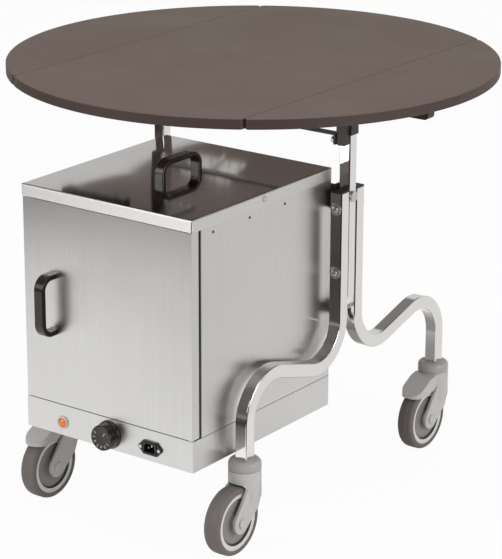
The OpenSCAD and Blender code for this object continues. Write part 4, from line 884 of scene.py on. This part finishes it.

# %% [markdown]
# The scale's numbers are drawn with straight strokes on a small grid, about two
# wide and four high, and every stroke is a thin raised bar. A font could draw
# them too. The same bars also make the pointer, and later the painted shade along
# the joint.

# %% Scale and pointer
STROKES = {
    "0": [(0.3, 0), (0, 1), (0, 3), (0.3, 4), (1.7, 4), (2, 3), (2, 1), (1.7, 0), (0.3, 0)],
    "1": [(0.3, 3.2), (1.2, 4), (1.2, 0)],
    "2": [(0, 3.3), (0.5, 4), (1.6, 4), (2, 3), (0, 0), (2, 0)],
    "3": [(0, 4), (2, 4), (0.9, 2.5), (2, 1.6), (1.8, 0.4), (1, 0), (0, 0.4)],
    "4": [(1.5, 0), (1.5, 4), (0, 1.3), (2.1, 1.3)],
    "5": [(2, 4), (0.2, 4), (0, 2.3), (1.4, 2.4), (2, 1.5), (1.6, 0.2), (0, 0.2)],
    "6": [(1.8, 4), (0.4, 2.6), (0, 1.1), (0.6, 0), (1.5, 0), (2, 1.1), (1.5, 2.1), (0.3, 1.9)],
}


def stroke_bars(paths, width, height):
    """Boxes along straight strokes, standing on the plane of the first two
    coordinates. Every box is a little longer than its stroke, so corners close."""
    points, faces = [], []
    for path in paths:
        for (x0, y0), (x1, y1) in zip(path, path[1:]):
            ahead = np.array((x1 - x0, y1 - y0), float)
            ahead /= np.linalg.norm(ahead)
            side = np.array((-ahead[1], ahead[0])) * width / 2
            ends = (np.array((x0, y0)) - ahead * width / 2, np.array((x1, y1)) + ahead * width / 2)
            flat = [ends[0] - side, ends[1] - side, ends[1] + side, ends[0] + side]
            base = len(points)
            points += [(x, y, 0.0) for x, y in flat] + [(x, y, height) for x, y in flat]
            for quad in ((3, 2, 1, 0), (4, 5, 6, 7), (0, 1, 5, 4), (1, 2, 6, 5),
                         (2, 3, 7, 6), (3, 0, 4, 7)):
                faces.append(tuple(base + corner for corner in quad))
    return np.array(points), faces


DIAL_R, DIGIT_SIZE, STROKE_WIDE, STROKE_HIGH = 16.6, 1.1, 0.9, 0.35
FIRST_DIGIT, DIGIT_STEP = 150, 30
POINTER_TURN, POINTER_START, POINTER_END = 52, 6.5, 13.0
dial_paths = []
for index, digit in enumerate("0123456"):
    angle = math.radians(FIRST_DIGIT + DIGIT_STEP * index)
    outward = np.array((math.cos(angle), math.sin(angle)))
    rightward = np.array((outward[1], -outward[0]))
    for_digit = [DIAL_R * outward + DIGIT_SIZE * ((x - 1) * rightward + (y - 2) * outward)
                 for x, y in STROKES[digit]]
    dial_paths.append([tuple(p) for p in for_digit])
pointer_angle = math.radians(POINTER_TURN)
pointer_way = (math.cos(pointer_angle), math.sin(pointer_angle))
dial_paths.append([tuple(POINTER_START * c for c in pointer_way),
                   tuple(POINTER_END * c for c in pointer_way)])
flat_points, dial_faces = stroke_bars(dial_paths, STROKE_WIDE, STROKE_HIGH)
dial_points = np.column_stack((KNOB_X + flat_points[:, 0],
                               KNOB_FRONT + MARKS_FOOT - flat_points[:, 2],
                               KNOB_Z + flat_points[:, 1]))
dial = mesh_piece("knob_scale", dial_points, dial_faces, [MARK_WHITE])
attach(dial, NODES["knob"]["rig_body"])
print("dial faces", len(dial_faces))

# %% [markdown]
# The lamp's bezel is a half round ring, and its lens is part of a ball that
# stands a little proud of it.

# %% Pilot lamp
LENS_R, LENS_RISE, LENS_SUNK, BEZEL_R = 8.5, 5.5, 2.0, 1.75
LENS_SEAT = LENS_R - 0.05
low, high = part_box("lamp_bezel")
middle = middle_of(low, high)
lamp_middle = (middle[0], high.y / MM, middle[2])
roll = np.radians(np.linspace(0, 180, 17))
bezel_profile = [(0.0, LENS_R + 2 * BEZEL_R)]
bezel_profile += [(BEZEL_R + BEZEL_R * math.sin(a), LENS_R + BEZEL_R * (1 + math.cos(a)))
                  for a in roll]
bezel_profile.append((0.0, LENS_R))
bezel = turned_piece("lamp_ring", lamp_middle, (0, -1, 0), bezel_profile, [PALE_PLASTIC],
                     count=64)
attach(bezel, NODES["lamp_bezel"]["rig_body"])
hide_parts("lamp_bezel")
BALL_R = 1.3 * LENS_R
lens_profile = [(-LENS_SUNK, LENS_SEAT)]
lens_profile += [(LENS_RISE - BALL_R + math.sqrt(BALL_R ** 2 - r ** 2), r)
                 for r in (LENS_SEAT, 7.8, 7.0, 6.0, 5.0, 4.0, 3.0, 2.0, 1.0, 0.3)]
lens = turned_piece("lamp_dome", lamp_middle, (0, -1, 0), lens_profile, [ORANGE], count=64,
                    closed=False)
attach(lens, NODES["lamp_lens"]["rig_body"])
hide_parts("lamp_lens")
print("lamp at", [round(float(v), 1) for v in lamp_middle])

# %% [markdown]
# ## Fixings
# Each leg is held by two bolts with a broad washer and a domed head. The sheet of
# the hot box shows three dark rivets and one bright screw on each side.

# %% Fixings
def domed(radius, height, low=0.0, steps=6):
    """The outside of a low dome from its base to its top: a straight skirt for
    three tenths of the height, then the quarter of an ellipse."""
    angles = np.radians(np.linspace(0, 88, steps + 1))
    skirt = 0.3 * height
    return ([(low, radius)] + [(low + skirt + (height - skirt) * math.sin(a), radius * math.cos(a))
                               for a in angles])


SIDES = (1.0, -1.0)
LEG_FACE, BOLT_LEVELS = 36.5, (559.0, 439.0)
bolt_places = [(side * FRAME_X, z) for side in SIDES for z in BOLT_LEVELS]
washer = [(0.0, 11.4), (1.2, 11.4), (1.6, 11.0), (1.7, 9.6), (1.4, 9.0)]
head = washer + [(1.4, 6.6)] + domed(6.2, 4.6, 1.6)
for name, y, axis in (("bolt_heads", -LEG_FACE, (0, -1, 0)), ("bolt_nuts", LEG_FACE, (0, 1, 0))):
    piece = turned_piece(name, [(x, y, z) for x, z in bolt_places], axis, head, [FIXING],
                         count=40, closed=False)
    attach(piece, NODES["leg_bolts"]["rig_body"])
    if name == "bolt_heads":
        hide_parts("leg_bolts")

BOX_X, COVER_X, BOX_MIDDLE_Y = 189.0, 190.0, -223.0
RIVET_Z, RIVET_PITCH, RIVET_SHIFT = 595.0, 104.0, -42.0
RIVET_R, RIVET_RISE = 2.5, 1.3
SCREW_Z, SCREW_R, SCREW_RISE = 618.0, 5.4, 1.95
for side, hand in zip(SIDES, ("right", "left")):
    rivets = turned_piece(
        f"rivets_{hand}", [(side * BOX_X, BOX_MIDDLE_Y + RIVET_PITCH * i + RIVET_SHIFT, RIVET_Z)
                           for i in (-1, 0, 1)],
        (side, 0, 0), domed(RIVET_R, RIVET_RISE), [RIVET_DARK], count=24, closed=False)
    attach(rivets, NODES["side_fixings"]["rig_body"])
    screw = turned_piece(f"cover_screw_{hand}", (side * COVER_X, BOX_MIDDLE_Y, SCREW_Z),
                         (side, 0, 0), domed(SCREW_R, SCREW_RISE), [FIXING], count=40,
                         closed=False)
    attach(screw, NODES["side_fixings"]["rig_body"])
    if side > 0:
        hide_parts("side_fixings")
print("fixings", len(bolt_places) * 2 + len(SIDES) * 4)

# %% [markdown]
# Between the heated body and the lower housing a thin dark strip runs round the
# sides and the back. It is painted shade, for the shadow in the joint between the
# two sheets.

# %% Painted shade of the joint
JOINT_Z, JOINT_T, PROUD, BEHIND_DOOR = 230.0, 1.0, 0.06, 24.0
low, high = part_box("plinth")
left_x, right_x = low.x / MM - PROUD, high.x / MM + PROUD
back_y, front_y = high.y / MM + PROUD, low.y / MM + BEHIND_DOOR
joint_path = [(right_x, front_y), (right_x, back_y), (left_x, back_y), (left_x, front_y)]
flat_points, joint_faces = stroke_bars([joint_path], 2 * PROUD, JOINT_T)
joint_points = flat_points + np.array((0.0, 0.0, JOINT_Z - JOINT_T / 2))
# This dark strip is painted shade for the shadow in the joint, in the rubber's colour.
joint_shade_strip = mesh_piece("joint_shade_strip", joint_points, joint_faces, [SEAL_RUBBER])
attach(joint_shade_strip, NODES["plinth"]["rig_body"])
print("joint line faces", len(joint_faces))

# %% [markdown]
# ## Folded sheet and castings
# Sheet steel is never folded to a knife's edge, and a casting has a radius
# wherever two faces meet. A copy of the measured piece has its flat triangles
# merged into whole faces, and then its edges are rolled over by a small bevel.

# %% Softened copies
def softened(name, node_name, width, material, steps=2, angle=30.0):
    """A copy of a measured piece with edges rolled over by a width in millimetres,
    wherever two faces meet at more than the angle."""
    source = NODES[node_name]
    mesh = source.data.copy()
    mesh.name = name
    shape = bmesh.new()
    shape.from_mesh(mesh)
    bmesh.ops.remove_doubles(shape, verts=shape.verts, dist=0.00001)
    bmesh.ops.dissolve_limit(shape, angle_limit=math.radians(1.0), verts=shape.verts,
                             edges=shape.edges)
    shape.to_mesh(mesh)
    shape.free()
    mesh.materials.clear()
    mesh.materials.append(material)
    mesh.polygons.foreach_set("use_smooth", np.ones(len(mesh.polygons), bool))
    mesh.set_sharp_from_angle(angle=math.radians(angle))
    piece = into_scene(name, mesh)
    roll_over = piece.modifiers.new("rolled_edges", "BEVEL")
    roll_over.width = width * MM
    roll_over.segments = steps
    roll_over.limit_method = "ANGLE"
    roll_over.angle_limit = math.radians(angle)
    roll_over.harden_normals = True
    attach(piece, source["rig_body"])
    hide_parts(node_name)


CAST_EDGE = 0.8
for name, node_name, width, material in (
        ("sheet_body", "cabinet_shell", 0.9, BOX_STEEL),
        ("sheet_plinth", "plinth", 0.9, BOX_STEEL),
        ("sheet_door", "door_panel", 1.1, BOX_STEEL),
        ("painted_brace", "cross_brace", 0.6, BLACK_STEEL),
        ("painted_brackets", "top_brackets", 0.5, BLACK_STEEL),
        ("hooks", "hanger_hooks", 0.5, BLACK_STEEL)):
    softened(name, node_name, width, material)
for corner in CORNERS:
    softened(f"casting_{corner}", f"fork_{corner}", CAST_EDGE, CASTER_GREY)
for corner in BRAKED:
    softened(f"brake_{corner}", f"pedal_{corner}", CAST_EDGE, CASTER_GREY)
print("softened copies made")

# %% [markdown]
# ## The studio
# The floor is pale and large. What makes chrome look like chrome is what it
# mirrors: white behind the object and to its right, and the dark part of the
# studio in front, on the left and near the camera, which is why the front faces
# of the tubes are almost black. The floor and the sky tell the glossy rays apart
# and show them that pattern, which the camera doesn't see. Without it, chrome on
# white would be a pale outline. The real room isn't known: where the dark parts
# begin and end was found by trial, for the photograph's view above all.

# %% Floor
FRONT_LEFT, FRONT_RIGHT = (-0.75, -0.66, 0.0), (0.75, -0.66, 0.0)
RIGHTWARDS, UPWARDS = (1.0, 0.3, 0.0), (0.0, 0.0, 1.0)
PAPER, WHITE = (0.80, 0.80, 0.80, 1.0), (1.0, 1.0, 1.0, 1.0)
# Mirrors see the floor under the object in a painted shadow, the second colour here.
STUDIO_DARK, SHADOW_UNDER_OBJECT = (0.030, 0.020, 0.016, 1.0), (0.30, 0.29, 0.28, 1.0)
SIDE_TONE = (0.80, 0.795, 0.79, 1.0)


def toward(tree, place, reach, soft, way):
    """Nought up to the reach and one past the reach plus the soft part, by the dot
    product of place and way, and eased between these two distances."""
    share = add_node(tree, "ShaderNodeVectorMath", operation="DOT_PRODUCT")
    share.inputs[1].default_value = way
    link(tree, place, share.inputs[0])
    node = add_node(tree, "ShaderNodeMapRange", {"From Min": reach, "From Max": reach + soft},
                    interpolation_type="SMOOTHSTEP")
    link(tree, share.outputs["Value"], node.inputs["Value"])
    return node.outputs["Result"]


def chosen(tree, test, otherwise, when_true):
    """A shader that is the one or the other, by a test of the ray or by a share."""
    mix = add_node(tree, "ShaderNodeMixShader")
    if isinstance(test, float):
        mix.inputs[0].default_value = test
    else:
        link(tree, test, mix.inputs[0])
    link(tree, otherwise, mix.inputs[1])
    link(tree, when_true, mix.inputs[2])
    return mix.outputs[0]


def floor_finish():
    """White to the camera but for the object's shadow; to the mirrors the dark pattern
    and a painted shadow under the object; and plain pale paper to all other light."""
    material = bpy.data.materials.new("studio_floor")
    material.use_nodes = True
    tree = material.node_tree
    tree.nodes.clear()
    output = add_node(tree, "ShaderNodeOutputMaterial")
    paper = add_node(tree, "ShaderNodeBsdfDiffuse", {"Color": PAPER})
    glow = add_node(tree, "ShaderNodeEmission", {"Color": WHITE, "Strength": 1.0})
    lifted = chosen(tree, 0.95, paper.outputs[0], glow.outputs[0])
    place = add_node(tree, "ShaderNodeTexCoord").outputs["Object"]
    near_camera = toward(tree, place, 0.71, 0.15, FRONT_RIGHT)
    beyond = toward(tree, place, 3.10, 0.55, FRONT_RIGHT)
    band = math_node(tree, "MAXIMUM", math_node(tree, "SUBTRACT", near_camera, beyond), 0.0)
    far_left = toward(tree, place, 2.02, 0.42, FRONT_LEFT)
    dark = math_node(tree, "MAXIMUM", band, far_left)
    # For mirrors the floor carries a painted shadow under the object: darkest at its middle, gone
    # sixty centimetres out.
    distance = add_node(tree, "ShaderNodeVectorMath", operation="LENGTH")
    link(tree, place, distance.inputs[0])
    clear_of_painted_shadow = add_node(tree, "ShaderNodeMapRange", {"From Min": 0.15, "From Max": 0.60},
                          interpolation_type="SMOOTHSTEP")
    link(tree, distance.outputs["Value"], clear_of_painted_shadow.inputs["Value"])
    lit = two_tone(tree, clear_of_painted_shadow.outputs["Result"], SHADOW_UNDER_OBJECT, WHITE)
    lit = two_tone(tree, toward(tree, place, 0.20, 0.60, RIGHTWARDS), lit, SIDE_TONE)
    mirrored = add_node(tree, "ShaderNodeEmission", {"Strength": 1.0})
    link(tree, two_tone(tree, dark, lit, STUDIO_DARK), mirrored.inputs["Color"])
    path = add_node(tree, "ShaderNodeLightPath")
    unseen = chosen(tree, path.outputs["Is Glossy Ray"], paper.outputs[0], mirrored.outputs[0])
    link(tree, chosen(tree, path.outputs["Is Camera Ray"], unseen, lifted), output.inputs[0])
    return material


HALF_FLOOR = 9.0
floor_mesh = bpy.data.meshes.new("floor")
floor_mesh.from_pydata([(-HALF_FLOOR, -HALF_FLOOR, 0), (HALF_FLOOR, -HALF_FLOOR, 0),
                        (HALF_FLOOR, HALF_FLOOR, 0), (-HALF_FLOOR, HALF_FLOOR, 0)],
                       [], [(0, 1, 2, 3)])
floor = into_scene("floor", floor_mesh)
floor_mesh.materials.append(floor_finish())
print("floor", 2 * HALF_FLOOR, "metres wide")


# %% [markdown]
# The sky behind the floor follows the same idea. Its dark parts are not as deep
# as the floor's, and mirrors see a dimmer ceiling.

# %% Sky
SKY_DARK = (0.08, 0.066, 0.06, 1.0)
SKY_LEFT, SKY_RIGHT = (-0.6, -0.8, 0.0), (0.6, -0.8, 0.0)
ROOM_LIGHT, CEILING_SHARE, LEFT_SHARE = 0.85, 0.75, 0.7


def build_sky():
    """White to the camera, and a room with a dark front to everything else. The
    ceiling and the right darken mirrors alone, and the left, in part, all light."""
    world = bpy.data.worlds.new("studio")
    world.use_nodes = True
    bpy.context.scene.world = world
    tree = world.node_tree
    tree.nodes.clear()
    output = add_node(tree, "ShaderNodeOutputWorld")
    direction = add_node(tree, "ShaderNodeTexCoord").outputs["Generated"]
    left = toward(tree, direction, 0.15, 0.60, SKY_LEFT)
    right_side = toward(tree, direction, 0.35, 0.30, SKY_RIGHT)
    ceiling = toward(tree, direction, 0.48, 0.14, UPWARDS)
    path = add_node(tree, "ShaderNodeLightPath")
    front = math_node(tree, "MAXIMUM", left, right_side)
    unlit = math_node(tree, "MAXIMUM", front,
                      math_node(tree, "MULTIPLY", ceiling, CEILING_SHARE))
    dark = math_node(tree, "MULTIPLY", unlit, path.outputs["Is Glossy Ray"])
    dark = math_node(tree, "MAXIMUM", dark, math_node(tree, "MULTIPLY", left, LEFT_SHARE))
    room = add_node(tree, "ShaderNodeBackground", {"Strength": ROOM_LIGHT})
    link(tree, two_tone(tree, dark, PAPER, SKY_DARK), room.inputs["Color"])
    white = add_node(tree, "ShaderNodeBackground", {"Color": WHITE, "Strength": 1.0})
    seen_or_not = chosen(tree, path.outputs["Is Camera Ray"], room.outputs[0], white.outputs[0])
    link(tree, seen_or_not, output.inputs[0])


build_sky()

# %% [markdown]
# Three large soft lamps light the object: one above it, one in front and to the
# left, which faces the brushed door, and one from the right.

# %% Lamps
def soft_lamp(name, place, aim, size, power):
    """An area lamp at a place, turned so that it shines at the aim."""
    data = bpy.data.lights.new(name, "AREA")
    data.shape = "RECTANGLE"
    data.size, data.size_y = size
    data.energy = power
    lamp = into_scene(name, data)
    lamp.location = place
    lamp.rotation_euler = (Vector(aim) - Vector(place)).to_track_quat("-Z", "Y").to_euler()


MIDDLE = (0.0, -0.1, 0.4)
soft_lamp("lamp_above", (0.3, -0.2, 3.1), MIDDLE, (2.4, 2.4), 21.0)
soft_lamp("lamp_front", (-1.1, -3.0, 1.6), MIDDLE, (2.0, 1.6), 44.0)
soft_lamp("lamp_right", (3.0, -0.3, 1.1), MIDDLE, (1.6, 1.6), 34.0)
print("lamps", len(bpy.data.lights))
